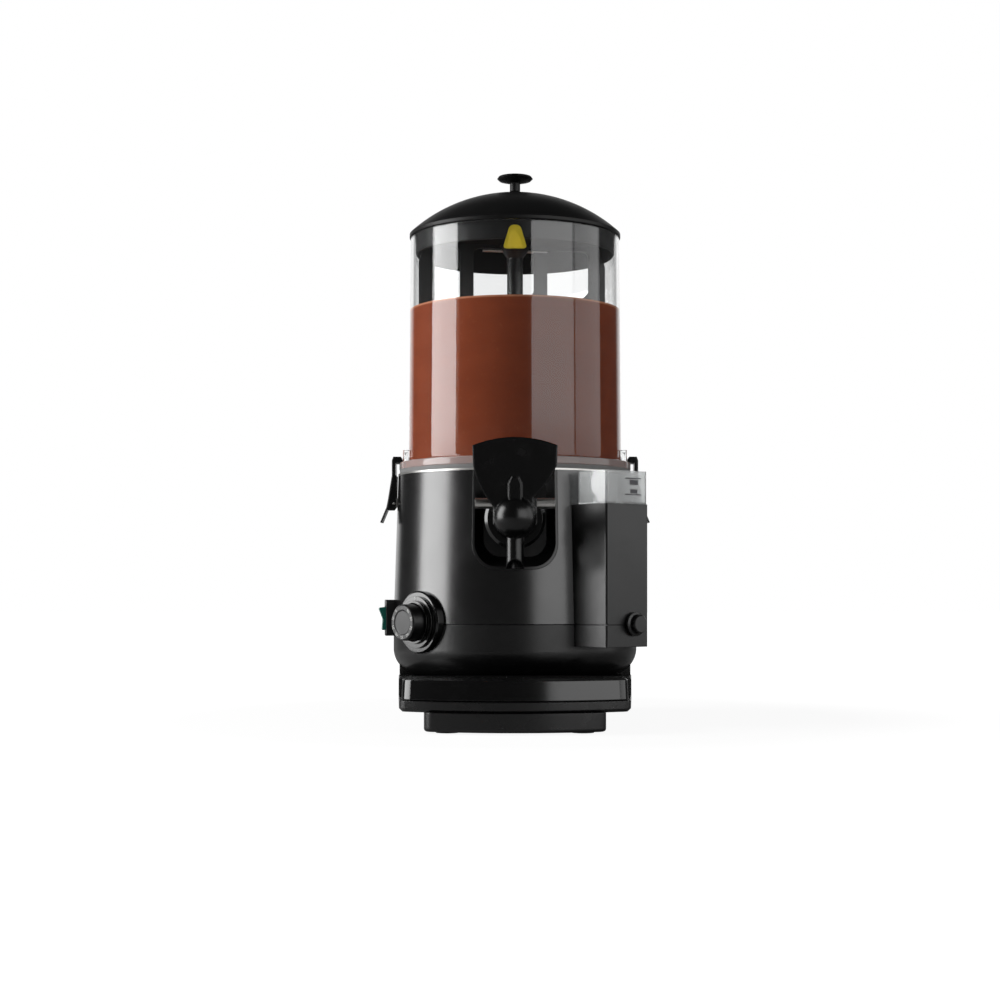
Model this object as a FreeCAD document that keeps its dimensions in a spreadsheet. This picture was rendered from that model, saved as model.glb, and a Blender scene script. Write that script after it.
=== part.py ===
import FreeCAD, Part
import math
import os
import re
import Sketcher
from FreeCAD import Placement, Rotation, Vector

# Hot chocolate dispenser with a water-jacketed pot, a clear bowl and a turning stirrer.
# Millimetres and degrees. +Z is up, -Y is the front, and the origin is on the drum's axis at the table.

SIZES = {
    # drum: outer shell above the seam, casing below it
    "drum_radius": 124.5, "drum_flare": 5.1, "shell_wall": 2.0, "casing_wall": 2.5, "casing_round": 27.0,
    "casing_foot": 48.0, "seam_height": 102.6, "shell_top": 258.0, "spigot_height": 6.0, "seam_groove": 0.8,
    "hole_margin": 24.6,
    # clearances
    "rest_gap": 0.3, "slide_gap": 1.0, "shaft_gap": 0.05,
    # bowl, gasket and lid
    "gasket_thick": 4.5, "flange_set": 1.0, "flange_width": 12.2, "bowl_taper": 2.1, "bowl_wall": 4.5,
    "bowl_height": 247.0, "flange_thick": 7.5, "lug_height": 13.0, "lug_width": 8.0, "lug_spread": 9.0,
    "lid_lip": 1.2, "lid_edge": 4.0, "lid_rise": 47.5, "lid_wall": 2.5, "skirt_depth": 19.2,
    "skirt_wall": 1.8, "knob_radius": 19.0, "knob_thick": 5.0, "knob_lift": 20.5, "knob_stem": 5.5,
    "lid_screw_radius": 2.0,
    # pot, water jacket and heater
    "pot_step": 18.3, "pot_wall": 1.0, "pot_depth": 78.0, "rim_thick": 2.0, "pot_round": 14.0,
    "jacket_space": 4.5, "jacket_wall": 1.2, "jacket_depth": 30.0, "heater_set": 17.0, "heater_tube": 4.0,
    "heater_lift": 9.0, "heater_leg": 20.0, "heater_stub": 12.0, "cutout_radius": 9.0,
    "cutout_height": 12.0,
    # shaft tube, stirrer and drink
    "tube_radius": 6.5, "tube_wall": 1.2, "tube_set": 23.0, "shaft_radius": 4.0, "bush_length": 8.0,
    "sleeve_radius": 8.5, "sleeve_gap": 0.5, "cone_radius": 16.5, "cone_height": 14.0, "stirrer_drop": 6.5,
    "arm_depth": 4.0, "blade_thick": 3.0, "sweep_gap": 3.8, "leg_left": 17.0, "inner_left": 59.5,
    "sweep_skew": 3.5, "leg_right": 19.0, "inner_right": 35.0, "inner_leg": 14.5, "shoulder_width": 7.0,
    "shoulder_drop": 55.0, "rail_lift": 18.0, "rail_depth": 14.0, "scraper_gap": 5.0, "crown_inset": 7.0,
    "crown_depth": 20.0, "stirrer_angle": 10.0, "drink_drop": 69.5, "cross_pin_radius": 1.6,
    "cross_pin_half": 35.0, "pin_depth": 6.0,
    # gear motor
    "gear_module": 1.0, "wheel_teeth": 72.0, "pinion_teeth": 14.0, "gear_width": 9.0, "motor_drop": 44.0,
    "gearbox_depth": 22.0, "gearbox_wall": 2.5, "gearbox_end": 46.0, "gearbox_round": 24.0,
    "motor_radius": 26.0, "motor_length": 46.0, "rotor_radius": 20.0, "motor_shaft": 3.0,
    # tap
    "niche_gap": 1.5, "niche_wall": 2.0, "niche_half_back": 34.0, "niche_half_mouth": 43.0,
    "niche_drop_back": 40.0, "niche_drop_mouth": 47.5, "niche_set": 6.0, "tap_drop": 49.5,
    "outlet_radius": 19.0, "outlet_wall": 1.5, "outlet_proud": 17.0, "seal_thick": 1.5,
    "barrel_radius": 13.0, "bore_radius": 6.0, "barrel_nose": 5.5, "tap_flange": 25.0,
    "tap_flange_thick": 4.0, "collar_radius": 30.5, "collar_lap": 7.0, "collar_depth": 10.0,
    "spout_gap": 1.5, "spout_radius": 9.0, "spout_bore": 6.5, "spout_drop": 50.5, "spout_slant": 11.0,
    "hinge_set": 3.0, "hinge_rise": 14.0, "pin_radius": 5.4, "pin_half": 39.5, "lug_half": 9.0,
    "dome_radius": 21.5, "dome_wall": 3.5, "dome_ahead": 15.0, "cheek_thick": 5.0, "cheek_radius": 9.5,
    "paddle_half": 41.0, "paddle_rise": 69.5, "waist_rise": 50.5, "paddle_thick": 5.0,
    "paddle_ahead": 3.0, "neck_half": 18.0, "neck_rise": 18.5, "rib_half": 6.3, "rib_rise": 38.5,
    "rib_depth": 5.0, "rod_radius": 2.75, "rod_past": 0.7, "head_radius": 9.0,
    "head_thick": 5.0, "spring_wire": 0.8, "spring_radius": 4.6, "spring_turns": 4.0,
    # dial
    "dial_azimuth": -48.0, "dial_rise": 1.4, "bezel_radius": 32.0, "bezel_step": 3.0, "bezel_ring": 5.5,
    "dial_proud": 24.5, "dial_radius": 19.0, "dial_gap": 0.8, "spindle_radius": 3.0,
    "thermostat_width": 34.0, "thermostat_depth": 24.0, "thermostat_set": 40.1,
    # switch
    "switch_azimuth": -82.0, "switch_rise": 3.7, "switch_half_width": 13.0, "switch_half_height": 19.0,
    "switch_proud": 9.0, "rocker_half_width": 7.5, "rocker_half_height": 12.0, "rocker_proud": 5.5,
    "rocker_tilt": 8.0, "rocker_pin": 1.5, "rocker_pivot": 5.0, "rocker_slack": 0.8,
    "switch_body_depth": 24.0,
    # water filler
    "filler_azimuth": 40.0, "filler_half": 28.5, "filler_depth": 45.4, "filler_floor": 80.0,
    "filler_top": 223.0, "filler_wall": 2.5, "filler_round": 3.0, "cup_rise": 33.0, "cup_wall": 2.0,
    "cup_inset": 0.8, "cup_plug": 6.0, "drain_offset": 8.0, "drain_height": 103.0, "drain_radius": 12.0,
    "drain_proud": 11.0, "stem_radius": 4.0, "pipe_radius": 5.0, "pipe_wall": 1.0, "pipe_rise": 20.0,
    # latches
    "latch_width": 24.0, "latch_wall": 2.0, "latch_hold": 4.0, "latch_cap": 6.5, "latch_set": 4.3,
    "latch_drop": 29.0, "latch_pin": 1.25, "latch_tab": 14.7, "latch_tab_drop": 20.0,
    # base
    "base_set": 7.6, "base_narrow": 11.0, "base_bow": 215.0, "base_side": 205.0, "base_back": 152.0,
    "base_low": 20.5, "ledge_rise": 10.5, "base_lap": 14.0, "base_step_at": 25.0, "base_wall": 3.0,
    "base_taper_at": 40.0, "base_corner": 12.0, "plinth_half": 87.0, "plinth_inset": 7.0,
    "foot_height": 2.0, "foot_radius": 11.0, "cover_thick": 2.0, "cover_inset": 10.0, "vent_half": 2.5,
    "vent_pitch": 12.0,
    # drip tray
    "tray_margin": 2.5, "tray_set": 6.0, "tray_back": 116.5, "tray_depth": 20.0,
    "tray_wall": 2.2, "grid_thick": 2.2, "grid_set": 13.5, "grid_margin": 3.2, "slot_half": 2.0,
    "slot_pitch": 9.0, "slot_side": 88.0,
    # mains side
    "gland_radius": 8.0, "gland_height": 78.0, "cord_hole": 3.5, "screw_radius": 2.0, "screw_head": 3.8,
    "terminal_wide": 18.0, "terminal_long": 40.0, "terminal_high": 16.0, "terminal_set": 20.0,
}

# Sizes that follow from others. Each may use the ones above it.
LINKED = {
    "inner_hole": "drum_radius + drum_flare - casing_round - hole_margin",
    "flange_radius": "drum_radius - flange_set",
    "bowl_radius": "flange_radius - flange_width",
    "bowl_base": "shell_top + rim_thick + gasket_thick",
    "bowl_top": "bowl_base + bowl_height",
    "pot_radius": "bowl_radius - pot_step",
    "pot_floor": "shell_top - pot_depth",
    "jacket_radius": "pot_radius + jacket_space",
    "jacket_floor": "pot_floor - jacket_depth",
    "heater_ring": "pot_radius - heater_set",
    "pipe_height": "jacket_floor + pipe_rise",
    "stirrer_top": "bowl_top - stirrer_drop",
    "tube_top": "stirrer_top - tube_set",
    "shoulder_height": "stirrer_top - shoulder_drop",
    "drink_level": "stirrer_top - drink_drop",
    "rail_height": "shell_top + rail_lift",
    "sweep_left": "bowl_radius - bowl_wall - sweep_gap",
    "sweep_right": "sweep_left - sweep_skew",
    "gearbox_floor": "jacket_floor - motor_drop",
    "niche_back": "jacket_radius + niche_wall + niche_gap",
    "niche_mouth": "drum_radius - niche_set",
    "tap_height": "shell_top - tap_drop",
    "niche_low_back": "tap_height - niche_drop_back",
    "niche_low_mouth": "tap_height - niche_drop_mouth",
    "outlet_end": "niche_back + outlet_proud",
    "collar_start": "outlet_end - collar_lap",
    "collar_end": "outlet_end + collar_depth",
    "spout_reach": "collar_end + spout_gap + spout_radius",
    "spout_end": "tap_height - spout_drop",
    "barrel_end": "spout_reach + spout_radius + barrel_nose",
    "hinge_reach": "barrel_end - hinge_set",
    "dome_reach": "hinge_reach + dome_ahead",
    "paddle_reach": "dome_reach + paddle_ahead",
    "rod_end": "dome_reach + rod_past",
    "paddle_corner": "tap_height + paddle_rise",
    "paddle_waist": "tap_height + waist_rise",
    "neck_height": "tap_height + neck_rise",
    "rib_top": "tap_height + rib_rise",
    "dial_height": "seam_height + dial_rise",
    "switch_height": "dial_height + switch_rise",
    "thermostat_back": "drum_radius + drum_flare - thermostat_set",
    "filler_reach": "drum_radius + drum_flare + filler_depth",
    "latch_nose": "flange_radius - latch_hold",
    "latch_pivot": "drum_radius + latch_set",
    "latch_pivot_height": "shell_top - latch_drop",
    "latch_tip": "latch_pivot + latch_tab",
    "latch_tip_height": "latch_pivot_height - latch_tab_drop",
    "base_half_back": "drum_radius + drum_flare - base_set",
    "base_half_front": "base_half_back - base_narrow",
    "base_ledge": "base_low + ledge_rise",
    "base_high": "casing_foot + base_lap",
    "tray_half": "base_half_front - tray_margin",
    "tray_side": "base_side - tray_set",
    "tray_top": "base_ledge + tray_depth",
    "grid_back": "tray_back + grid_set",
}

doc = FreeCAD.newDocument("hot_chocolate_dispenser")
sheet = doc.addObject("Spreadsheet::Sheet", "Sizes")
for row, (alias, number) in enumerate(SIZES.items(), start=1):
    sheet.set(f"A{row}", str(number))
    sheet.setAlias(f"A{row}", alias)
doc.recompute()

FRONT, TOP, SIDE = "XZ_Plane", "XY_Plane", "YZ_Plane"   # planes facing -Y, +Z and +X
parts = {}


def cells(text):
    """An expression on the sheet's cells: a name with an underscore in it is a cell, or a linked size."""
    for name, formula in reversed(LINKED.items()):
        text = re.sub(rf"\b{name}\b", f"({formula})", str(text))
    return re.sub(r"\b([a-z]+_\w+)", r"Sizes.\1", str(text))


def size(text):
    """The value of an expression now."""
    return float(sheet.evalExpression(cells(text)))


def keep(node, thing):
    """Name an object of the document as a finished piece."""
    thing.Label = node
    parts[node] = thing
    return thing


def new_body(name):
    doc.recompute()
    return doc.addObject("PartDesign::Body", name)


def draw_loop(sketch, points):
    """Closed loop through (x, y) points. A third entry bends the side that starts there to an arc of that
    radius: positive bulges to the right of the way round, negative to the left."""
    spots = [Vector(size(point[0]), size(point[1]), 0) for point in points]
    ends = []
    for index, spot in enumerate(spots):
        following = spots[(index + 1) % len(spots)]
        if len(points[index]) < 3:
            edge = sketch.addGeometry(Part.LineSegment(spot, following), False)
            ends.append((edge, 1, 2))
            continue
        radius = size(points[index][2])
        chord = following - spot
        rise = abs(radius) - math.sqrt(radius ** 2 - (chord.Length / 2) ** 2)
        aside = Vector(chord.y, -chord.x, 0).normalize() * math.copysign(rise, radius)
        through = (spot + following) / 2 + aside
        if radius > 0:
            edge = sketch.addGeometry(Part.Arc(spot, through, following), False)
            ends.append((edge, 1, 2))
        else:
            edge = sketch.addGeometry(Part.Arc(following, through, spot), False)
            ends.append((edge, 2, 1))
    for index, (edge, first, last) in enumerate(ends):
        after, start, _ = ends[(index + 1) % len(ends)]
        sketch.addConstraint(Sketcher.Constraint("Coincident", edge, last, after, start))
    for index, (edge, first, last) in enumerate(ends):
        for kind, text, number in (("DistanceX", points[index][0], spots[index].x),
                                   ("DistanceY", points[index][1], spots[index].y)):
            tie = sketch.addConstraint(Sketcher.Constraint(kind, -1, 1, edge, first, number))
            sketch.setExpression(f"Constraints[{tie}]", cells(text))
        if len(points[index]) > 2:
            radius = abs(size(points[index][2]))
            tie = sketch.addConstraint(Sketcher.Constraint("Radius", edge, radius))
            sketch.setExpression(f"Constraints[{tie}]", f"abs({cells(points[index][2])})")


def draw_circle(sketch, x, y, radius):
    edge = sketch.addGeometry(Part.Circle(Vector(size(x), size(y), 0), Vector(0, 0, 1), size(radius)), False)
    for kind, text in (("DistanceX", x), ("DistanceY", y)):
        tie = sketch.addConstraint(Sketcher.Constraint(kind, -1, 1, edge, 3, size(text)))
        sketch.setExpression(f"Constraints[{tie}]", cells(text))
    tie = sketch.addConstraint(Sketcher.Constraint("Radius", edge, size(radius)))
    sketch.setExpression(f"Constraints[{tie}]", cells(radius))


def draw(body, plane, loops, start=0):
    """Sketch on one of the body's own planes, moved along its normal by start. A loop is a list of points,
    or a tuple (x, y, radius) for a circle."""
    sketch = body.newObject("Sketcher::SketchObject", body.Name + "_sketch")
    sketch.AttachmentSupport = [(next(f for f in body.Origin.OriginFeatures if f.Role == plane), "")]
    sketch.MapMode = "FlatFace"
    sketch.setExpression("AttachmentOffset.Base.z", cells(start))
    for loop in loops:
        if isinstance(loop, tuple):
            draw_circle(sketch, *loop)
        else:
            draw_loop(sketch, loop)
    doc.recompute()
    return sketch


def feature(body, kind, sketch, length=None, midplane=False, flip=False):
    made = body.newObject("PartDesign::" + kind, body.Name + "_" + kind)
    made.Profile = sketch
    if length is not None:
        made.setExpression("Length", cells(length))
        made.Midplane = midplane
        made.Reversed = flip
    doc.recompute()
    return made


def pad(body, plane, loops, length, start=0, midplane=False):
    return feature(body, "Pad", draw(body, plane, loops, start), length, midplane)


def pocket(body, plane, loops, length, start=0, midplane=False):
    """Cut from the sketch along its normal, and make sure that something was cut."""
    before = body.Shape.Volume
    made = feature(body, "Pocket", draw(body, plane, loops, start), length, midplane, not midplane)
    assert body.Shape.Volume < before - 1e-3, body.Name + " pocket cut nothing"
    return made


def turn(body, profile, kind="Revolution"):
    """Revolve a profile of (radius, height) points round the body's Z axis, added or cut away."""
    sketch = draw(body, FRONT, [profile])
    made = body.newObject("PartDesign::" + kind, body.Name + "_" + kind)
    made.Profile = sketch
    made.ReferenceAxis = (sketch, ["V_Axis"])
    doc.recompute()
    return made


def turned(name, profile):
    body = new_body(name)
    turn(body, profile)
    return body


def plate(name, plane, loops, length, start=0, midplane=False):
    body = new_body(name)
    pad(body, plane, loops, length, start, midplane)
    return body


def rectangle(half, low, high):
    """Upright rectangle that reaches half to both sides of the middle."""
    return [(f"-({half})", low), (half, low), (half, high), (f"-({half})", high)]


def rounded(body, radius, chosen, kind="Fillet"):
    """Fillet or chamfer the edges of the body's last feature that chosen(edge) picks."""
    base = body.Tip
    names = [f"Edge{i}" for i, edge in enumerate(base.Shape.Edges, start=1) if chosen(edge)]
    assert names, body.Name + " has no such edge"
    made = body.newObject("PartDesign::" + kind, body.Name + "_" + kind)
    made.Base = (base, names)
    made.setExpression("Radius" if kind == "Fillet" else "Size", cells(radius))
    doc.recompute()
    return made


def along(axis, near=None):
    """Picks straight edges that run along axis, and pass near(middle) where it is given."""
    def chosen(edge):
        if edge.Curve.TypeId != "Part::GeomLine":
            return False
        middle = edge.valueAt((edge.FirstParameter + edge.LastParameter) / 2)
        lined_up = abs(abs(edge.tangentAt(edge.FirstParameter).dot(axis)) - 1) < 1e-4
        return lined_up and (near is None or near(middle))
    return chosen


def level(height, least=0.0):
    """Picks edges that lie at a height, all of them at least so far from the Z axis."""
    def chosen(edge):
        box = edge.BoundBox
        far = all(math.hypot(v.Point.x, v.Point.y) > least for v in edge.Vertexes)
        return abs(box.ZMin - height) < 1e-3 and abs(box.ZMax - height) < 1e-3 and far
    return chosen


def put(thing, x=0, y=0, z=0, spin=0, roll=0):
    """Place a piece: its own Z axis is rolled towards -Y, and then spun round +Z."""
    thing.setExpression("Placement", f"placement(vector({cells(x)}; {cells(y)}; {cells(z)}); "
                                     f"rotation({cells(spin)}; 0; {cells(roll)}))")
    return thing


def face_out(thing, azimuth, height, reach=0):
    """Place a piece whose Z axis points out of the drum at an azimuth, with its Y axis up."""
    return put(thing, f"({reach}) * sin({azimuth})", f"-({reach}) * cos({azimuth})", height, azimuth, 90)


def combine(kind, name, pieces):
    """Boolean of finished objects: Fuse and Common take a list, Cut takes what is left and what is cut."""
    kinds = {"Fuse": "Part::MultiFuse", "Common": "Part::MultiCommon", "Cut": "Part::Cut"}
    made = doc.addObject(kinds[kind], name)
    if kind == "Cut":
        made.Base, made.Tool = pieces
    else:
        made.Shapes = pieces
    made.Refine = False
    doc.recompute()
    return made


def cylinder(name, radius, height, x=0, y=0, z=0, spin=0, roll=0):
    made = doc.addObject("Part::Cylinder", name)
    made.setExpression("Radius", cells(radius))
    made.setExpression("Height", cells(height))
    return put(made, x, y, z, spin, roll)


def block(name, length, width, height, x=0, y=0, z=0, spin=0):
    """Box whose first corner is at (x, y, z) in a frame spun round the drum's axis."""
    made = doc.addObject("Part::Box", name)
    for side, text in (("Length", length), ("Width", width), ("Height", height)):
        made.setExpression(side, cells(text))
    return put(made, f"({x}) * cos({spin}) - ({y}) * sin({spin})",
               f"({x}) * sin({spin}) + ({y}) * cos({spin})", z, spin)


def shape_piece(name, shape):
    """A piece that only Part's own functions can make, such as a coil."""
    made = doc.addObject("Part::Feature", name)
    made.Shape = shape
    return made


# ---------------------------------------------------------------- drum
Z_AXIS, Y_AXIS, X_AXIS = Vector(0, 0, 1), Vector(0, 1, 0), Vector(1, 0, 0)
SEAM_RADIUS = "(drum_radius + drum_flare)"
BEYOND = "(2 * drum_radius)"          # longer than anything it has to cut through
TURN = 360


def shell_at(height):
    """Outer radius of the tapered shell at a height."""
    return f"(drum_radius + drum_flare * (shell_top - ({height})) / (shell_top - seam_height))"


def envelope(name, inset="0"):
    """Solid drum, whose surface other pieces sit on; inset moves that surface inwards."""
    return turned(name, [
        ("0", "0"), (f"{SEAM_RADIUS} - ({inset})", "0"), (f"{SEAM_RADIUS} - ({inset})", "seam_height"),
        (f"drum_radius - ({inset})", "shell_top"), ("0", "shell_top")])


def niche_loft(name, wall, high):
    """Solid of the tap's niche: a round-cornered U that widens from its back to its mouth."""
    body = new_body(name)
    sections = []
    for half, low, reach in (("niche_half_back", "niche_low_back", "niche_back"),
                             ("(2 * niche_half_mouth - niche_half_back)",
                              "(2 * niche_low_mouth - niche_low_back)", "(2 * niche_mouth - niche_back)")):
        wide = f"({half} - ({wall}))"
        floor = f"({low} + ({wall}))"
        bend = f"({wide} * 0.55)"
        loop = [(f"-{wide}", high), (f"-{wide}", f"{floor} + {bend}", bend), (f"-{wide} + {bend}", floor),
                (f"{wide} - {bend}", floor, bend), (wide, f"{floor} + {bend}"), (wide, high)]
        sections.append(draw(body, FRONT, [loop], reach))
    loft = body.newObject("PartDesign::AdditiveLoft", name + "_loft")
    loft.Profile = sections[0]
    loft.Sections = [sections[1]]
    loft.Ruled = True
    doc.recompute()
    return body


def outer_shell():
    shell = turned("shell_tube", [
        (f"{SEAM_RADIUS} - shell_wall", "seam_height"), (SEAM_RADIUS, "seam_height"),
        ("drum_radius", "shell_top"), ("drum_radius - shell_wall", "shell_top")])
    holes = [
        cylinder("dial_hole_shell", "spindle_radius + shaft_gap", BEYOND, z="dial_height",
                 spin="dial_azimuth", roll=90),
        block("switch_hole_shell", "2 * rocker_half_width", BEYOND, "2 * rocker_half_height",
              "-rocker_half_width", f"-{BEYOND}", "switch_height - rocker_half_height", "switch_azimuth"),
        cylinder("pipe_hole_shell", "pipe_radius", BEYOND, z="pipe_height", spin="filler_azimuth", roll=90),
        niche_loft("niche_hole", "0", "shell_top + slide_gap"),
    ]
    cut = combine("Cut", "shell_cut", [shell, combine("Fuse", "shell_holes", holes)])
    return keep("outer_shell", cut)


def lower_casing():
    foot_radius = f"({SEAM_RADIUS} - casing_round)"
    lip = f"({SEAM_RADIUS} - shell_wall - rest_gap)"
    casing = turned("casing_bowl", [
        ("inner_hole", "casing_foot"), (foot_radius, "casing_foot", "casing_round"),
        (SEAM_RADIUS, "casing_foot + casing_round"), (SEAM_RADIUS, "seam_height - seam_groove"),
        (f"{SEAM_RADIUS} - seam_groove", "seam_height"), (lip, "seam_height"),
        (lip, "seam_height + spigot_height"), (f"{lip} - casing_wall", "seam_height + spigot_height"),
        (f"{lip} - casing_wall", "casing_foot + casing_round", "-(casing_round - casing_wall)"),
        (foot_radius, "casing_foot + casing_wall"), ("inner_hole", "casing_foot + casing_wall")])
    holes = [
        cylinder("dial_hole_casing", "spindle_radius + shaft_gap", BEYOND, z="dial_height",
                 spin="dial_azimuth", roll=90),
        block("switch_hole_casing", "2 * rocker_half_width", BEYOND, "2 * rocker_half_height",
              "-rocker_half_width", f"-{BEYOND}", "switch_height - rocker_half_height", "switch_azimuth"),
        cylinder("gland_hole_casing", "gland_radius - 2", BEYOND, z="gland_height", spin=180, roll=90),
    ]
    for number in range(-3, 4):
        holes.append(block(f"vent_slot_{number + 3}", "vent_half * 2", BEYOND, "vent_half * 3",
                           "-vent_half", "0", "seam_height - vent_half * 5", f"{number} * vent_pitch / 2"))
    return keep("lower_casing", combine("Cut", "casing_cut",
                                        [casing, combine("Fuse", "casing_holes", holes)]))


def tap_niche():
    outside = niche_loft("niche_outside", "0", "shell_top")
    inside = niche_loft("niche_inside", "niche_wall", "shell_top + slide_gap")
    front = combine("Common", "niche_fitted", [outside, envelope("niche_envelope")])
    hollow = combine("Cut", "niche_hollow", [front, put(inside, y="-niche_wall")])
    hole = cylinder("niche_pipe_hole", "outlet_radius", BEYOND, z="tap_height", roll=90)
    return keep("tap_niche", combine("Cut", "niche_cut", [hollow, hole]))


# ---------------------------------------------------------------- bowl and lid
BOWL_INNER = "(bowl_radius - bowl_wall)"


def bowl():
    body = turned("bowl_turned", [
        (f"{BOWL_INNER} + bowl_taper", "bowl_base"), ("flange_radius", "bowl_base"),
        ("flange_radius", "bowl_base + flange_thick"),
        ("bowl_radius + bowl_taper", "bowl_base + flange_thick"), ("bowl_radius", "bowl_top"),
        (BOWL_INNER, "bowl_top")])
    lugs = []
    inner = "(bowl_radius + bowl_taper - bowl_wall / 2)"
    for number, angle in enumerate(("lug_spread", "-lug_spread", "180 - lug_spread", "180 + lug_spread")):
        lugs.append(block(f"flange_lug_{number}", f"flange_radius - 3 - {inner}", "lug_width",
                          "lug_height + 1", inner, "-lug_width / 2", "bowl_base + flange_thick - 1", angle))
    return keep("clear_bowl", combine("Fuse", "bowl_lugged", [body] + lugs))


def bowl_gasket():
    inner = f"({BOWL_INNER} + bowl_taper)"
    foot = "(shell_top + rim_thick)"
    outer = "flange_radius - 0.5"
    return keep("bowl_gasket", turned("gasket", [
        (inner, foot), (outer, foot), (outer, "bowl_base"), (inner, "bowl_base")]))


def lid():
    """Domed lid with a flat brim on the bowl, and the ring under it that centres it in the bowl."""
    brim = "(bowl_radius + lid_lip)"
    seat = "(bowl_top + rest_gap)"
    crown = f"({brim} ^ 2 / (2 * (lid_rise - lid_edge)) + (lid_rise - lid_edge) / 2)"
    ring = f"({BOWL_INNER} - slide_gap)"
    hole = "lid_screw_radius + shaft_gap"
    keep("lid", turned("lid_dome", [
        (hole, f"{seat} + lid_rise - lid_wall", f"-({crown} - lid_wall)"),
        (f"{ring} - skirt_wall", f"{seat} + lid_edge / 2"), (f"{ring} - skirt_wall", seat), (brim, seat),
        (brim, f"{seat} + lid_edge", crown), (hole, f"{seat} + lid_rise")]))
    keep("lid_skirt", turned("lid_ring", [
        (f"{ring} - skirt_wall", f"{seat} - skirt_depth"), (ring, f"{seat} - skirt_depth"), (ring, seat),
        (f"{ring} - skirt_wall", seat)]))


def lid_knob():
    top = "(bowl_top + rest_gap + lid_rise)"
    body = turned("knob_turned", [
        ("0", f"{top} + 4"), ("lid_screw_radius", f"{top} + 4"), ("lid_screw_radius", top),
        ("knob_stem + 3", top), ("knob_stem", f"{top} + 4"),
        ("knob_stem", f"{top} + knob_lift - knob_thick - 3"),
        ("knob_radius - 2", f"{top} + knob_lift - knob_thick"), ("knob_radius", f"{top} + knob_lift - 3"),
        ("knob_radius - 1.5", f"{top} + knob_lift - 1"), ("0", f"{top} + knob_lift")])
    keep("lid_knob", body)
    head = "(bowl_top + rest_gap + lid_rise - lid_wall - 0.1)"
    screw = turned("knob_screw_turned", [
        ("0", f"{head} - 2"), ("lid_screw_radius * 2", f"{head} - 2"), ("lid_screw_radius * 2", head),
        ("lid_screw_radius", head), ("lid_screw_radius", f"{top} + 4"), ("0", f"{top} + 4")])
    return keep("lid_knob_screw", screw)


# ---------------------------------------------------------------- pot, jacket and heater
TUBE_BORE = "(tube_radius - tube_wall)"


def pot():
    inner = "(pot_radius - pot_wall)"
    rim = "(shell_top + rim_thick)"
    body = turned("pot_turned", [
        (TUBE_BORE, "jacket_floor - 8"), ("tube_radius", "jacket_floor - 8"),
        ("tube_radius", "pot_floor - pot_wall"), (f"{inner} - pot_round", "pot_floor - pot_wall",
                                                  "pot_round + pot_wall"),
        ("pot_radius", "pot_floor + pot_round"), ("pot_radius", "shell_top"),
        ("drum_radius", "shell_top"), ("drum_radius", rim), (inner, rim),
        (inner, "pot_floor + pot_round", "-pot_round"), (f"{inner} - pot_round", "pot_floor"),
        ("tube_radius", "pot_floor"), ("tube_radius", "tube_top"), (TUBE_BORE, "tube_top")])
    pipe = cylinder("outlet_outside", "outlet_radius", "outlet_end - pot_radius + 10",
                    y="-pot_radius + 10", z="tap_height", roll=90)
    collar = cylinder("outlet_rim", "tap_flange", "3", y="-outlet_end + 3", z="tap_height", roll=90)
    bore = cylinder("outlet_inside", "outlet_radius - outlet_wall", "outlet_end - pot_radius + 30",
                    y="-pot_radius + 20", z="tap_height", roll=90)
    hollow = turned("pot_space", [
        ("tube_radius", "pot_floor"), (f"{inner} - pot_round", "pot_floor", "pot_round"),
        (inner, "pot_floor + pot_round"), (inner, rim), ("tube_radius", rim)])
    solid = combine("Fuse", "pot_with_outlet", [body, combine("Cut", "outlet_clear", [
        combine("Fuse", "outlet_stub", [pipe, collar]), hollow])])
    return keep("pot", combine("Cut", "pot_cut", [solid, bore]))


def water_jacket():
    inner = "(jacket_radius - jacket_wall)"
    floor = "(jacket_floor + jacket_wall)"
    body = turned("jacket_turned", [
        ("tube_radius", "jacket_floor"), ("jacket_radius", "jacket_floor"), ("jacket_radius", "shell_top"),
        (inner, "shell_top"), (inner, floor), ("tube_radius", floor)])
    holes = [cylinder("jacket_outlet_hole", "outlet_radius", BEYOND, z="tap_height", roll=90),
             cylinder("jacket_pipe_hole", "pipe_radius", BEYOND, z="pipe_height", spin="filler_azimuth",
                      roll=90)]
    for side in (-1, 1):
        holes.append(cylinder(f"heater_hole_{side + 1}", "heater_tube", "20", f"{side} * heater_leg / 2",
                              "sqrt(heater_ring ^ 2 - (heater_leg / 2) ^ 2)", "jacket_floor - 5"))
    return keep("water_jacket", combine("Cut", "jacket_cut",
                                        [body, combine("Fuse", "jacket_holes", holes)]))


def heating_element():
    """Ring of tube open at the back, whose two ends turn down through the jacket's floor."""
    ring, tube = size("heater_ring"), size("heater_tube")
    height = size("jacket_floor + heater_lift")
    low = size("jacket_floor - heater_stub")
    half = size("heater_leg / 2")
    gap = math.degrees(math.asin(half / ring))
    left = Vector(-half, math.sqrt(ring ** 2 - half ** 2), height)
    right = Vector(half, left.y, height)
    loop = Part.makeCircle(ring, Vector(0, 0, height), Z_AXIS, TURN / 4 + gap, TURN * 5 / 4 - gap)
    section = Part.Wire(Part.makeCircle(tube, left, loop.tangentAt(loop.FirstParameter)))
    arc = Part.Wire(loop).makePipeShell([section], True, True)
    legs = [Part.makeCylinder(tube, height - low, Vector(spot.x, spot.y, low)) for spot in (left, right)]
    knees = [Part.makeSphere(tube, spot) for spot in (left, right)]
    bent = arc.multiFuse(legs + knees).removeSplitter()
    return keep("heating_element", shape_piece("heater_tube_bent", bent))


def thermal_cutout():
    return keep("thermal_cutout", cylinder("cutout", "cutout_radius", "cutout_height", "-pot_radius / 2", 0,
                                           "jacket_floor - cutout_height"))


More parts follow.
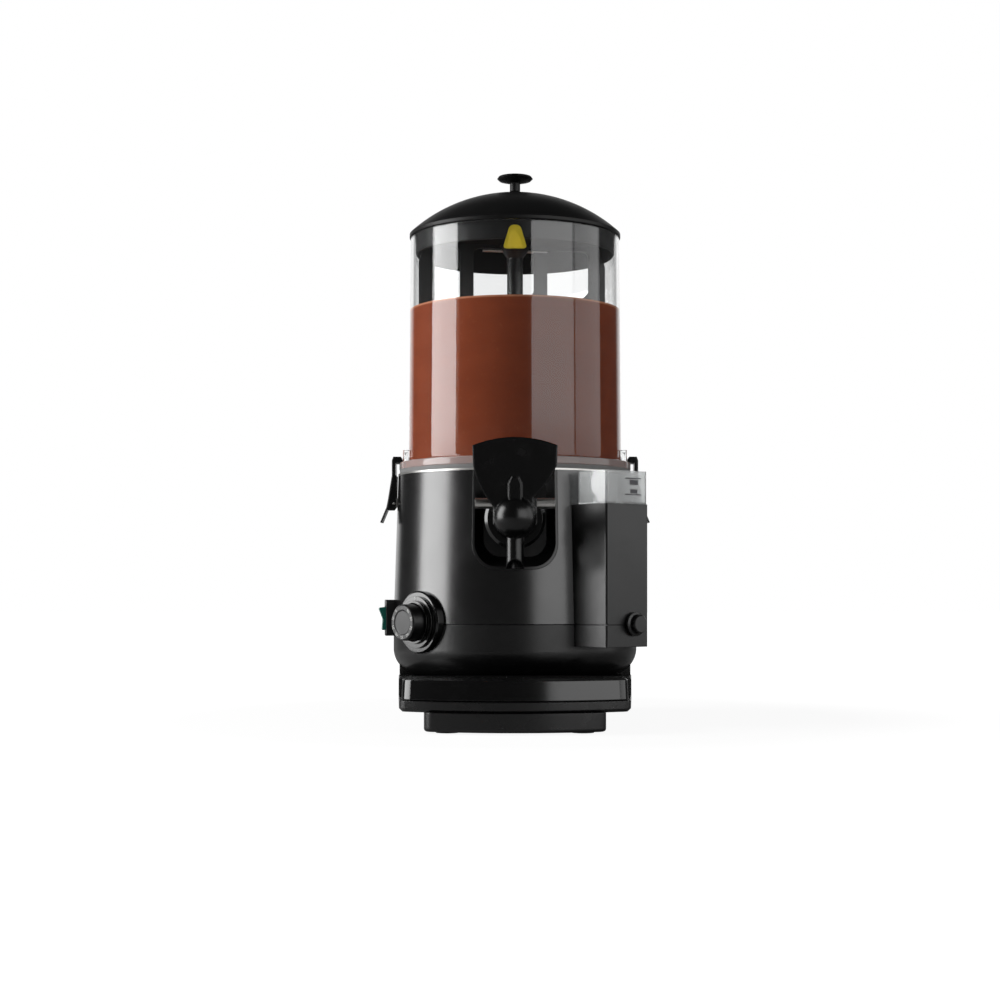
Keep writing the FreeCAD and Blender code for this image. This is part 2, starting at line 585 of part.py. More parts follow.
# ---------------------------------------------------------------- stirrer and drive
def stirrer():
    arm = "(stirrer_top - arm_depth)"
    rail = "(rail_height - rail_depth)"
    sleeve = "(tube_radius + sleeve_gap)"
    outline = [
        ("-sweep_left", rail), ("-inner_left", rail), ("-inner_left", "pot_floor + scraper_gap"),
        ("inner_right", "pot_floor + scraper_gap"), ("inner_right", rail), ("sweep_right", rail),
        ("sweep_right", "stirrer_top - crown_depth"), ("sweep_right - crown_inset", "stirrer_top"),
        ("-sweep_left + crown_inset", "stirrer_top"), ("-sweep_left", "stirrer_top - crown_depth")]
    left_window = [
        ("-sweep_left + leg_left", "rail_height"), ("-inner_left", "rail_height"), ("-inner_left", arm),
        ("-sweep_left + leg_left", arm)]
    low = "(pot_floor + scraper_gap + rail_depth)"
    middle_left = [("-inner_left + inner_leg", low), (f"-{sleeve}", low), (f"-{sleeve}", arm),
                   ("-inner_left + inner_leg", arm)]
    middle_right = [
        (sleeve, low), ("inner_right - inner_leg - shoulder_width / 2", low),
        ("inner_right - inner_leg - shoulder_width / 2", "shoulder_height"),
        ("inner_right - inner_leg", "shoulder_height + shoulder_width"), ("inner_right - inner_leg", arm),
        (sleeve, arm)]
    right_window = [
        ("inner_right", "rail_height"), ("sweep_right - leg_right - shoulder_width", "rail_height"),
        ("sweep_right - leg_right - shoulder_width", "shoulder_height"),
        ("sweep_right - leg_right", "shoulder_height + shoulder_width"), ("sweep_right - leg_right", arm),
        ("inner_right", arm)]
    frame = plate("stirrer_plate", FRONT, [outline, left_window, middle_left, middle_right, right_window],
                  "blade_thick", midplane=True)
    rounded(frame, "shoulder_width", along(Y_AXIS, lambda m: size(arm) - 1 < m.z < size("stirrer_top") - 1
                                           and abs(m.x) > size("sleeve_radius")))
    cone_foot = "(stirrer_top - cone_height)"
    hub = turned("stirrer_hub", [
        (sleeve, "pot_floor + scraper_gap"), ("sleeve_radius", "pot_floor + scraper_gap"),
        ("sleeve_radius", cone_foot), ("cone_radius", "stirrer_top - 2"), ("cone_radius", "stirrer_top"),
        ("shaft_radius", "stirrer_top"), ("shaft_radius", f"{cone_foot} - 2"), (sleeve, f"{cone_foot} - 2")])
    sheath = combine("Fuse", "stirrer_core", [
        cylinder("sleeve_space", sleeve, f"{cone_foot} - 2"),
        cylinder("shaft_space", "shaft_radius", "stirrer_top + 10")])
    clear = combine("Cut", "stirrer_open", [frame, sheath])
    body = combine("Fuse", "stirrer_whole", [clear, hub])
    reach = "(cross_pin_half + blade_thick)"
    pin = cylinder("cross_pin_hole", "cross_pin_radius", f"2 * {reach}", f"-{reach}", 0,
                   "stirrer_top - pin_depth", spin=90, roll=90)
    bored = combine("Cut", "stirrer_bored", [body, pin])
    return keep("stirrer", put(bored, spin="stirrer_angle"))


def cross_pin():
    """Steel rod through the hub and the top of the shaft, which drives the stirrer."""
    pin = cylinder("cross_pin_rod", "cross_pin_radius", "2 * cross_pin_half",
                   "-cross_pin_half * cos(stirrer_angle)", "-cross_pin_half * sin(stirrer_angle)",
                   "stirrer_top - pin_depth", "90 + stirrer_angle", 90)
    return keep("stirrer_cross_pin", pin)


def drive_shaft():
    rod = cylinder("shaft_rod", "shaft_radius", "stirrer_top - 1 - gearbox_floor - gearbox_wall",
                   z="gearbox_floor + gearbox_wall")
    pin = cylinder("shaft_pin_hole", "cross_pin_radius", BEYOND, "-drum_radius * cos(stirrer_angle)",
                   "-drum_radius * sin(stirrer_angle)", "stirrer_top - pin_depth", "90 + stirrer_angle", 90)
    return keep("drive_shaft", combine("Cut", "shaft_drilled", [rod, pin]))


def bush(name, foot, outer):
    return keep(name, turned(name + "_turned", [
        ("shaft_radius + shaft_gap", foot), (outer, foot), (outer, f"{foot} + bush_length"),
        ("shaft_radius + shaft_gap", f"{foot} + bush_length")]))


def drink():
    """The drink turns with the stirrer, so it is cut round it and stays clear of the bowl and the pot."""
    inner = "(pot_radius - pot_wall - rest_gap)"
    rim = "(shell_top + rim_thick + rest_gap)"
    side = f"({BOWL_INNER} + bowl_taper - rest_gap)"
    level_radius = f"({BOWL_INNER} + bowl_taper * (1 - (drink_level - bowl_base) / bowl_height) - rest_gap)"
    mass = turned("drink_mass", [
        ("tube_radius + sleeve_gap", "pot_floor + rest_gap"),
        (f"{inner} - pot_round", "pot_floor + rest_gap", "pot_round"),
        (inner, "pot_floor + pot_round + rest_gap"), (inner, rim), (side, rim), (side, "bowl_base"),
        (level_radius, "drink_level"), ("tube_radius + sleeve_gap", "drink_level")])
    return keep("drink", combine("Cut", "drink_cut", [mass, parts["stirrer"]]))


# ---------------------------------------------------------------- gear motor
MOTOR_OFFSET = "(gear_module * (wheel_teeth + pinion_teeth) / 2)"
GEARBOX_TOP = "(gearbox_floor + gearbox_depth)"


def gear_wire(teeth, turned_by):
    """Outline of a spur gear with straight-flanked teeth, as a closed wire round the origin."""
    module = size("gear_module")
    pitch_radius = module * teeth / 2
    step = 2 * math.pi / teeth
    corners = []
    for tooth in range(round(teeth)):
        middle = turned_by + tooth * step
        for share, radius in ((-0.34, pitch_radius - 1.25 * module), (-0.235, pitch_radius),
                              (-0.12, pitch_radius + module), (0.12, pitch_radius + module),
                              (0.235, pitch_radius), (0.34, pitch_radius - 1.25 * module)):
            angle = middle + share * step
            corners.append(Vector(radius * math.cos(angle), radius * math.sin(angle), 0))
    return Part.makePolygon(corners + corners[:1])


def gear(name, teeth, width, bore, foot, turned_by, x, y):
    face = Part.Face([gear_wire(teeth, turned_by)])
    solid = face.extrude(Vector(0, 0, width)).cut(Part.makeCylinder(bore, width))
    solid.translate(Vector(x, y, foot))
    return keep(name, shape_piece(name + "_solid", solid))


def gears():
    """Wheel on the drive shaft, and the pinion behind it with a tooth in the wheel's rear gap."""
    wheel, pinion = size("wheel_teeth"), size("pinion_teeth")
    foot = size("gearbox_floor + gearbox_wall + 1.5")
    width = size("gear_width")
    gear("output_gear", wheel, width, size("shaft_radius"), foot, math.pi / 2 + math.pi / wheel, 0, 0)
    gear("motor_pinion", pinion, width, size("motor_shaft"), foot, -math.pi / 2, 0, size(MOTOR_OFFSET))


def gearbox():
    inner_front, inner_back = "(gearbox_end - gearbox_wall)", "(gearbox_round - gearbox_wall)"
    base = cylinder("gearbox_front", "gearbox_end", "gearbox_depth", z="gearbox_floor")
    back = cylinder("gearbox_back", "gearbox_round", "gearbox_depth", y=MOTOR_OFFSET, z="gearbox_floor")
    outside = combine("Fuse", "gearbox_outside", [base, back])
    space = combine("Fuse", "gearbox_space", [
        cylinder("gearbox_room", inner_front, "gearbox_depth", z="gearbox_floor + gearbox_wall"),
        cylinder("gearbox_room_back", inner_back, "gearbox_depth", y=MOTOR_OFFSET,
                 z="gearbox_floor + gearbox_wall"),
        cylinder("gearbox_motor_hole", "motor_shaft + 1", "gearbox_depth", y=MOTOR_OFFSET,
                 z="gearbox_floor - 1")])
    keep("gearbox_case", combine("Cut", "gearbox_hollow", [outside, space]))
    lid_front = cylinder("gearbox_lid_front", "gearbox_end", "gearbox_wall", z=GEARBOX_TOP)
    lid_back = cylinder("gearbox_lid_back", "gearbox_round", "gearbox_wall", y=MOTOR_OFFSET, z=GEARBOX_TOP)
    hole = cylinder("gearbox_lid_hole", "tube_radius", BEYOND, z="gearbox_floor")
    keep("gearbox_lid", combine("Cut", "gearbox_lid_cut", [
        combine("Fuse", "gearbox_lid_whole", [lid_front, lid_back]), hole]))
    bush("gearbox_bush", f"{GEARBOX_TOP} + gearbox_wall - bush_length", "tube_radius")
    lid_top = f"({GEARBOX_TOP} + gearbox_wall)"
    posts = [cylinder(f"post_{number}", "screw_radius + 2", f"jacket_floor - {lid_top}",
                      f"{sx} * gearbox_end * 0.6", f"{sy} * gearbox_end * 0.6", lid_top)
             for number, (sx, sy) in enumerate(((1, 1), (-1, 1), (-1, -1), (1, -1)))]
    keep("gearbox_posts", combine("Fuse", "posts_joined", posts))


def motor():
    top = "gearbox_floor"
    can = cylinder("motor_can", "motor_radius", "motor_length", y=MOTOR_OFFSET, z=f"{top} - motor_length")
    room = cylinder("motor_room", "motor_radius - 2", "motor_length - 4", y=MOTOR_OFFSET,
                    z=f"{top} - motor_length + 2")
    hole = cylinder("motor_hole", "motor_shaft + shaft_gap", BEYOND, y=MOTOR_OFFSET, z=f"{top} - 3")
    keep("motor_case", combine("Cut", "motor_hollow", [can, combine("Fuse", "motor_space", [room, hole])]))
    core = cylinder("rotor_core", "rotor_radius", "motor_length - 12", y=MOTOR_OFFSET,
                    z=f"{top} - motor_length + 6")
    shaft = cylinder("rotor_shaft", "motor_shaft", "motor_length + gear_width + gearbox_wall",
                     y=MOTOR_OFFSET, z=f"{top} - motor_length + 2.5")
    keep("motor_rotor", combine("Fuse", "rotor_joined", [core, shaft]))


# ---------------------------------------------------------------- tap
# Pieces on the tap's axis are drawn with their own Z axis pointing forwards, and lie at tap_height.
def on_tap(body):
    return put(body, z="tap_height", roll=90)


def tap_body():
    base = "(outlet_end + seal_thick)"
    barrel = on_tap(turned("tap_barrel", [
        ("0", base), ("tap_flange", base), ("tap_flange", f"{base} + tap_flange_thick"),
        ("barrel_radius", f"{base} + tap_flange_thick"), ("barrel_radius", "barrel_end"),
        ("0", "barrel_end")]))
    lug = plate("tap_lug", SIDE, [[
        ("-barrel_end", "tap_height + 3"), ("-hinge_reach + pin_radius + 2", "tap_height + 3"),
        ("-hinge_reach + pin_radius + 2", "tap_height + hinge_rise + 4"),
        ("-hinge_reach + 3", "tap_height + hinge_rise + pin_radius + 2"),
        ("-hinge_reach - 3", "tap_height + hinge_rise + pin_radius + 2"),
        ("-hinge_reach - pin_radius - 2", "tap_height + hinge_rise + 4"),
        ("-hinge_reach - pin_radius - 2", "tap_height + 7"), ("-barrel_end", "tap_height + 7")]],
        "2 * lug_half", midplane=True)
    spout = cylinder("tap_spout", "spout_radius", "tap_height - spout_end", y="-spout_reach", z="spout_end")
    slant = plate("spout_slant_cut", SIDE, [[
        ("-spout_reach - spout_radius - 1", "spout_end - 1"), ("-spout_reach", "spout_end - 1"),
        ("-spout_reach - spout_radius - 1", "spout_end + spout_slant")]], BEYOND, midplane=True)
    cuts = [slant, cylinder("spout_hole", "spout_bore", "tap_height - spout_end + 1", y="-spout_reach",
                            z="spout_end - 1"),
            on_tap(turned("tap_bore", [
                ("0", f"{base} - 1"), ("bore_radius", f"{base} - 1"), ("bore_radius", "barrel_end - 5"),
                ("rod_radius + 0.25", "barrel_end - 5"), ("rod_radius + 0.25", "barrel_end + 20"),
                ("0", "barrel_end + 20")])),
            cylinder("tap_pin_hole", "pin_radius + shaft_gap", BEYOND, "-drum_radius", "-hinge_reach",
                     "tap_height + hinge_rise", 90, 90)]
    whole = combine("Fuse", "tap_solid", [barrel, lug, spout])
    return keep("tap_body", combine("Cut", "tap_cut", [whole, combine("Fuse", "tap_cuts", cuts)]))


def tap_collar():
    body = turned("collar_turned", [
        ("tap_flange", "collar_start"), ("collar_radius - 2", "collar_start"),
        ("collar_radius", "collar_start + 2"), ("collar_radius", "collar_end - 3"),
        ("collar_radius - 3", "collar_end"), ("barrel_radius + 1", "collar_end"),
        ("barrel_radius + 1", "outlet_end + seal_thick + tap_flange_thick"),
        ("tap_flange", "outlet_end + seal_thick + tap_flange_thick")])
    return keep("tap_collar", on_tap(body))


def tap_seal():
    inner, front = "outlet_radius - outlet_wall", "outlet_end + seal_thick"
    return keep("tap_seal", on_tap(turned("tap_seal_turned", [
        (inner, "outlet_end"), ("tap_flange", "outlet_end"), ("tap_flange", front), (inner, front)])))


def tap_piston():
    """Rod through the barrel; its head closes the bore from behind and its tip meets the lever's pusher."""
    back = "(outlet_end + seal_thick - rest_gap)"
    rod = on_tap(turned("piston_turned", [
        ("0", f"{back} - head_thick"), ("head_radius - 2", f"{back} - head_thick"),
        ("head_radius", f"{back} - head_thick + 2"), ("head_radius", back), ("rod_radius", back),
        ("rod_radius", "rod_end - 3.2"), ("spring_radius + 1.2", "rod_end - 3.2"),
        ("spring_radius + 1.2", "rod_end - 1.6"), ("rod_radius", "rod_end - 1.6"),
        ("rod_radius", "rod_end - 1"), ("rod_radius - 1", "rod_end"), ("0", "rod_end")]))
    return keep("tap_piston", rod)


def coil(name, radius, wire, start, length, turns):
    """Helical spring along the tap's axis."""
    pitch = length / turns
    helix = Part.makeHelix(pitch, length - 2 * wire, radius)
    section = Part.Wire(Part.makeCircle(wire, Vector(radius, 0, 0), Y_AXIS))
    solid = Part.Wire(helix.Edges).makePipeShell([section], True, True)
    made = shape_piece(name, solid)
    made.Placement = Placement(Vector(0, -start - wire, size("tap_height")), Rotation(X_AXIS, 90))
    return made


def tap_spring():
    length = size("rod_end - 3.2 - barrel_end")
    return keep("tap_spring", coil("spring_coil", size("spring_radius"), size("spring_wire"),
                                   size("barrel_end"), length, size("spring_turns")))


def tap_lever():
    """Hollow dome, two cheeks on the pin, and a paddle that stands on the dome's neck."""
    dome = on_tap(turned("lever_dome", [
        ("0", "dome_reach - dome_wall"), ("dome_radius", "dome_reach - dome_wall"),
        ("dome_radius", "dome_reach", "dome_radius"), ("0", "dome_reach + dome_radius")]))
    hollow = on_tap(turned("lever_hollow", [
        ("0", "dome_reach - 4"), ("dome_radius - dome_wall", "dome_reach - 4"),
        ("dome_radius - dome_wall", "dome_reach + 4"), ("dome_radius - dome_wall - 6", "dome_reach + 12"),
        ("0", "dome_reach + 12")]))
    pusher = cylinder("lever_pusher", "rod_radius + 1", "dome_radius - 3", y="-rod_end - rest_gap",
                      z="tap_height", roll=90)
    cheeks = []
    for side, start in (("left", "-dome_radius"), ("right", "dome_radius - cheek_thick")):
        cheeks.append(plate("cheek_" + side, SIDE, [[
            ("-dome_reach - 3", "tap_height - 8"), ("-hinge_reach + cheek_radius - 4", "tap_height + 4"),
            ("-hinge_reach + cheek_radius", "tap_height + hinge_rise"),
            ("-hinge_reach + cheek_radius - 3", "tap_height + hinge_rise + cheek_radius - 3"),
            ("-hinge_reach", "tap_height + hinge_rise + cheek_radius"),
            ("-dome_reach - 3", "tap_height + dome_radius - 3")]], "cheek_thick", start))
    pin_hole = cylinder("lever_pin_hole", "pin_radius", BEYOND, "-drum_radius", "-hinge_reach",
                        "tap_height + hinge_rise", 90, 90)
    paddle = plate("lever_paddle", FRONT, [[
        ("-neck_half", "tap_height + 6"), ("neck_half", "tap_height + 6"),
        ("neck_half", "neck_height", "95"), ("paddle_half", "paddle_waist"),
        ("paddle_half + 0.6", "paddle_corner", "110"),
        ("-paddle_half - 0.6", "paddle_corner"), ("-paddle_half", "paddle_waist", "95")]],
        "paddle_thick", "paddle_reach")
    rib = plate("lever_rib", FRONT, [[
        ("-rib_half", "tap_height"), ("rib_half", "tap_height"), ("rib_half", "rib_top - rib_half"),
        ("rib_half / 2", "rib_top"), ("-rib_half / 2", "rib_top"), ("-rib_half", "rib_top - rib_half")]],
        "paddle_thick + rib_depth", "paddle_reach")
    shell = combine("Cut", "lever_shell", [combine("Fuse", "lever_solid", [dome, paddle, rib]), hollow])
    whole = combine("Fuse", "lever_whole", [shell, pusher] + cheeks)
    return keep("tap_lever", combine("Cut", "lever_bored", [whole, pin_hole]))


def tap_pin():
    return keep("tap_pin", cylinder("tap_pin_rod", "pin_radius", "2 * pin_half", "-pin_half", "-hinge_reach",
                                    "tap_height + hinge_rise", 90, 90))


# ---------------------------------------------------------------- dial and thermostat
DIAL_FACE = f"({SEAM_RADIUS} + dial_proud)"


def dial():
    """Stepped bezel on the drum, knob with a dished face, and its spindle to the thermostat."""
    wall = SEAM_RADIUS
    recess = "(dial_radius + dial_gap)"
    rings = face_out(turned("bezel_rings", [
        (recess, f"{wall} - 8"), ("bezel_radius", f"{wall} - 8"), ("bezel_radius", f"{wall} + bezel_step"),
        ("bezel_radius - 1.5", f"{wall} + bezel_step + 1.5"),
        ("bezel_radius - bezel_ring", f"{wall} + bezel_step + 1.5"),
        ("bezel_radius - bezel_ring", f"{wall} + 2 * bezel_step + 1.5"),
        ("bezel_radius - 1.8 * bezel_ring", f"{wall} + 2 * bezel_step + 1.5"),
        ("bezel_radius - 1.8 * bezel_ring", f"{wall} + 3 * bezel_step + 1.5"),
        (recess, f"{wall} + 3 * bezel_step + 1.5")]), "dial_azimuth", "dial_height")
    floor = face_out(turned("bezel_floor", [
        ("spindle_radius + 0.5", f"{wall} - 8"), ("bezel_radius - 2", f"{wall} - 8"),
        ("bezel_radius - 2", f"{wall} + 1.5"), ("spindle_radius + 0.5", f"{wall} + 1.5")]),
        "dial_azimuth", "dial_height")
    whole = combine("Fuse", "bezel_whole", [rings, floor])
    keep("dial_bezel", combine("Cut", "bezel_fitted", [whole, envelope("bezel_envelope")]))
    knob = face_out(turned("dial_knob_turned", [
        ("spindle_radius", f"{wall} + 2.5"), ("dial_radius", f"{wall} + 2.5"),
        ("dial_radius - 0.6", f"{DIAL_FACE} - 1.4"), ("dial_radius - 2", DIAL_FACE),
        ("dial_radius - 6", DIAL_FACE), ("dial_radius - 7", f"{DIAL_FACE} - 0.8"),
        ("0", f"{DIAL_FACE} - 0.8"), ("0", f"{DIAL_FACE} - 5"), ("spindle_radius", f"{DIAL_FACE} - 5")]),
        "dial_azimuth", "dial_height")
    keep("dial_knob", knob)
    start = "(thermostat_back + thermostat_depth - 4)"
    spindle = cylinder("spindle", "spindle_radius", f"{DIAL_FACE} - 5 - {start}")
    keep("dial_spindle", face_out(spindle, "dial_azimuth", "dial_height", start))


def thermostat():
    """Box behind the dial whose threaded neck reaches the casing."""
    front = "(thermostat_back + thermostat_depth)"
    half = "thermostat_width / 2"
    neck_end = f"({SEAM_RADIUS} - shell_wall - casing_wall - 2 * rest_gap)"
    box = plate("thermostat_box", FRONT, [rectangle(half, f"-{half}", half)], "thermostat_depth",
                "thermostat_back")
    put(box, z="dial_height", spin="dial_azimuth")
    neck = cylinder("thermostat_neck", "spindle_radius + 3", f"{neck_end} - {front}")
    face_out(neck, "dial_azimuth", "dial_height", front)
    hole = cylinder("thermostat_hole", "spindle_radius + shaft_gap", BEYOND)
    face_out(hole, "dial_azimuth", "dial_height", f"{front} - 5")
    keep("thermostat", combine("Cut", "thermostat_cut", [
        combine("Fuse", "thermostat_whole", [box, neck]), hole]))


# ---------------------------------------------------------------- switch
def on_switch(thing):
    """Pieces of the switch are drawn facing the front, and then turned to its azimuth."""
    return put(thing, z="switch_height", spin="switch_azimuth")


def switch():
    """Raised frame, two-way rocker on trunnions, and the switch's own body behind them."""
    wide, high = "rocker_half_width", "rocker_half_height"
    casing = plate("switch_block", FRONT, [rectangle("switch_half_width", "-switch_half_height",
                                                     "switch_half_height")],
                   "switch_proud + 8", f"{SEAM_RADIUS} - 8")
    rounded(casing, "filler_round", along(Y_AXIS))
    room = plate("switch_room", FRONT, [rectangle(f"{wide} + rest_gap", f"-{high} - rocker_slack",
                                                  f"{high} + rocker_slack")], BEYOND, "0")
    pivot = f"({SEAM_RADIUS} + rocker_pivot)"
    pivot_x, pivot_y = f"{pivot} * sin(switch_azimuth)", f"-{pivot} * cos(switch_azimuth)"
    reach = f"({wide} + rocker_pin + 1)"
    sockets = cylinder("rocker_sockets", "rocker_pin + shaft_gap", f"2 * {reach}",
                       f"{pivot_x} - {reach} * cos(switch_azimuth)",
                       f"{pivot_y} - {reach} * sin(switch_azimuth)", "switch_height",
                       "switch_azimuth + 90", 90)
    cuts = combine("Fuse", "switch_cuts", [on_switch(room), envelope("switch_envelope"), sockets])
    keep("switch_frame", combine("Cut", "switch_fitted", [on_switch(casing), cuts]))
    deep = f"({SEAM_RADIUS} - casing_wall - shell_wall)"
    body = plate("switch_body_block", FRONT, [rectangle(f"{wide} - 0.4", f"-{high} + 0.4", f"{high} - 0.4")],
                 "switch_body_depth + 3", f"{deep} - switch_body_depth")
    keep("switch_body", on_switch(body))
    back, front = "(rocker_pivot - 2.5)", "(-(switch_proud + rocker_proud) + rocker_pivot)"
    rocker = plate("rocker_block", SIDE, [[
        (front, f"-{high}"), (back, f"-{high}"), (f"{back} + 1.5", "0"), (back, high), (front, high),
        (f"{front} + 2.4", "0")]], f"2 * {wide}", midplane=True)
    rounded(rocker, "1", along(X_AXIS, lambda m: m.y < -size("rocker_pivot")))
    pad(rocker, SIDE, [("0", "0", "rocker_pin")], f"2 * ({reach} - rest_gap)", midplane=True)
    rocker.setExpression("Placement", cells(
        f"placement(vector({pivot_x}; {pivot_y}; switch_height); rotation(switch_azimuth; 0; rocker_tilt))"))
    keep("switch_rocker", rocker)


# ---------------------------------------------------------------- water filler
def on_filler(thing):
    return put(thing, spin="filler_azimuth")


def from_filler(thing, reach):
    """Place a piece whose Z axis points out of the filler box's front, on the drain's axis."""
    return put(thing, f"({reach}) * sin(filler_azimuth) + drain_offset * cos(filler_azimuth)",
               f"-({reach}) * cos(filler_azimuth) + drain_offset * sin(filler_azimuth)", "drain_height",
               "filler_azimuth", 90)


def filler_outline(half, near, far):
    return [(f"-({half})", f"-({near})"), (f"-({half})", f"-({far})"), (half, f"-({far})"),
            (half, f"-({near})")]


def filler():
    """Closed black housing on the drum, clear cup on top of it, and a pipe to the water jacket."""
    near = "drum_radius - 12"
    box = plate("filler_block", TOP, [filler_outline("filler_half", near, "filler_reach")],
                "filler_top - filler_floor", "filler_floor")
    rounded(box, "filler_round", along(Z_AXIS, lambda m: m.y < -size("filler_reach") + 1))
    pocket(box, TOP, [filler_outline("filler_half - filler_wall", f"{SEAM_RADIUS} + filler_wall",
                                     "filler_reach - filler_wall")],
           "filler_top - filler_floor", "filler_floor + filler_wall")
    beside = [filler_outline("filler_half + slide_gap", f"{near} - slide_gap", "filler_reach + slide_gap"),
              filler_outline("filler_half - seam_groove", f"{near} + slide_gap",
                             "filler_reach - seam_groove")]
    pocket(box, TOP, beside, "seam_groove", "seam_height - seam_groove")
    cut = [envelope("filler_envelope"),
           face_out(cylinder("filler_pipe_hole", "pipe_radius", "drum_flare + filler_wall * 3"),
                    "filler_azimuth", "pipe_height", "drum_radius - filler_wall"),
           from_filler(cylinder("filler_drain_hole", "stem_radius + shaft_gap", "filler_wall * 3"),
                       "filler_reach - filler_wall * 2")]
    keep("filler_box", combine("Cut", "filler_cut", [on_filler(box), combine("Fuse", "filler_cuts", cut)]))
    inset = "filler_half - cup_inset"
    back, front = f"{SEAM_RADIUS} + cup_inset", "filler_reach - cup_inset"
    cup = plate("cup_block", TOP, [filler_outline(inset, back, front)], "cup_rise", "filler_top")
    rounded(cup, "filler_round", along(Z_AXIS))
    pad(cup, TOP, [filler_outline("filler_half - filler_wall - rest_gap",
                                  f"{SEAM_RADIUS} + filler_wall + rest_gap",
                                  "filler_reach - filler_wall - rest_gap")],
        "cup_plug", "filler_top - cup_plug")
    pocket(cup, TOP, [filler_outline(f"{inset} - cup_wall", f"{back} + cup_wall", f"{front} - cup_wall")],
           "cup_rise", "filler_top + cup_wall")
    rounded(cup, "1", along(Z_AXIS, lambda m: m.z > size("filler_top + cup_wall") and
                            abs(m.x) < size("filler_half - cup_inset - cup_wall") + 0.1))
    pocket(cup, TOP, [("0", f"-({SEAM_RADIUS} + filler_reach) / 2", "pipe_radius")], BEYOND,
           "filler_top - cup_plug - 1")
    keep("filler_cup", on_filler(cup))
    start = "(jacket_radius - jacket_wall)"
    pipe = cylinder("pipe_outside", "pipe_radius", f"{SEAM_RADIUS} + filler_wall + 4 - {start}")
    face_out(pipe, "filler_azimuth", "pipe_height", start)
    bore = cylinder("pipe_inside", "pipe_radius - pipe_wall", BEYOND, z="pipe_height", spin="filler_azimuth",
                    roll=90)
    keep("filler_pipe", combine("Cut", "pipe_cut", [pipe, bore]))


def drain_cock():
    """Knob on the filler box that turns a hollow stem."""
    knob = turned("drain_turned", [
        ("0", "filler_reach + 0.4"), ("drain_radius - 1", "filler_reach + 0.4"),
        ("drain_radius", "filler_reach + 1.4"), ("drain_radius", "filler_reach + 4"),
        ("drain_radius - 2.5", "filler_reach + 5"), ("drain_radius - 3", "filler_reach + drain_proud - 1"),
        ("drain_radius - 4", "filler_reach + drain_proud"), ("0", "filler_reach + drain_proud")])
    stem = cylinder("drain_stem", "stem_radius", "filler_wall + 8")
    from_filler(stem, "filler_reach - filler_wall - 6")
    keep("drain_knob", combine("Fuse", "drain_whole", [from_filler(knob, "0"), stem]))


# ---------------------------------------------------------------- latches
def mirrored(name, thing):
    """The same piece on the other side of the machine."""
    made = doc.addObject("Part::Mirroring", name)
    made.Source = thing
    made.Normal = X_AXIS
    doc.recompute()
    return made


def latch_lever(side):
    """Hook over the bowl's flange that ends in a finger tab, with cheeks that run on the pin."""
    hook_low = "(bowl_base + flange_thick + rest_gap)"
    hook_top = f"({hook_low} + latch_cap)"
    pivot, height = "latch_pivot", "latch_pivot_height"
    knee = f"({height} + 30)"
    face = "(flange_radius + 7.5)"
    strap = plate(f"latch_strap_{side}", FRONT, [[
        ("latch_nose", hook_low), (f"{face} - 2 * latch_wall", hook_low), (f"{face} - 2 * latch_wall", knee),
        (f"{pivot} + 6.4 - latch_wall", f"{height} + 4"), (f"{pivot} + 8 - latch_wall", f"{height} - 4"),
        ("latch_tip - latch_wall", "latch_tip_height"), ("latch_tip", "latch_tip_height"),
        (f"{pivot} + 8", f"{height} - 4"), (f"{pivot} + 6.4", f"{height} + 4"), (face, knee),
        (face, f"{hook_top} - 4"), (f"{face} - 1.5", hook_top), ("latch_nose + 2", hook_top),
        ("latch_nose", f"{hook_top} - 3")]], "latch_width", midplane=True)
    cheeks = plate(f"latch_cheeks_{side}", FRONT, [[
        (f"{pivot} + 1", f"{height} - 6.5"), (f"{pivot} + 8", f"{height} - 6.5"),
        (f"{pivot} + 6.4", f"{height} + 4"), (face, knee), (f"{face} - 5", knee),
        (f"{pivot} - 2.2", f"{height} + 4"), (f"{pivot} - 2", f"{height} - 3")]],
        "latch_width", midplane=True)
    pocket(cheeks, FRONT, [[
        ("drum_radius", f"{height} - 12"), (f"{pivot} + 12", f"{height} - 12"),
        (f"{pivot} + 12", f"{height} + 32"), ("drum_radius", f"{height} + 32")]],
        "latch_width - 2 * latch_wall", midplane=True)
    hole = cylinder(f"latch_hole_{side}", "latch_pin + shaft_gap", f"2 * {BEYOND}", pivot, BEYOND, height,
                    roll=90)
    whole = combine("Fuse", f"latch_whole_{side}", [strap, cheeks])
    return combine("Cut", f"latch_bored_{side}", [whole, hole])


def latch_bracket(side):
    """Pair of ears on the shell that hold the latch's pin."""
    pivot, height = "latch_pivot", "latch_pivot_height"
    wall = shell_at(f"{height} - 10")
    bracket = plate(f"latch_ears_{side}", FRONT, [[
        (f"{wall} - 4", f"{height} - 5"), (f"{pivot} + 1", f"{height} - 2.4"), (f"{pivot} + 2.4", height),
        (f"{pivot} + 1", f"{height} + 2.4"), (f"{wall} - 4", f"{height} + 8")]],
        "latch_width - 2 * latch_wall - 1", midplane=True)
    pocket(bracket, FRONT, [[
        (f"{wall} + 1.5", f"{height} - 12"), (f"{pivot} + 12", f"{height} - 12"),
        (f"{pivot} + 12", f"{height} + 12"), (f"{wall} + 1.5", f"{height} + 12")]],
        "latch_width - 6 * latch_wall", midplane=True)
    hole = cylinder(f"ears_hole_{side}", "latch_pin", f"2 * {BEYOND}", pivot, BEYOND, height, roll=90)
    return combine("Cut", f"latch_seat_{side}", [bracket, combine("Fuse", f"latch_seat_cuts_{side}", [
        envelope(f"latch_envelope_{side}"), hole])])


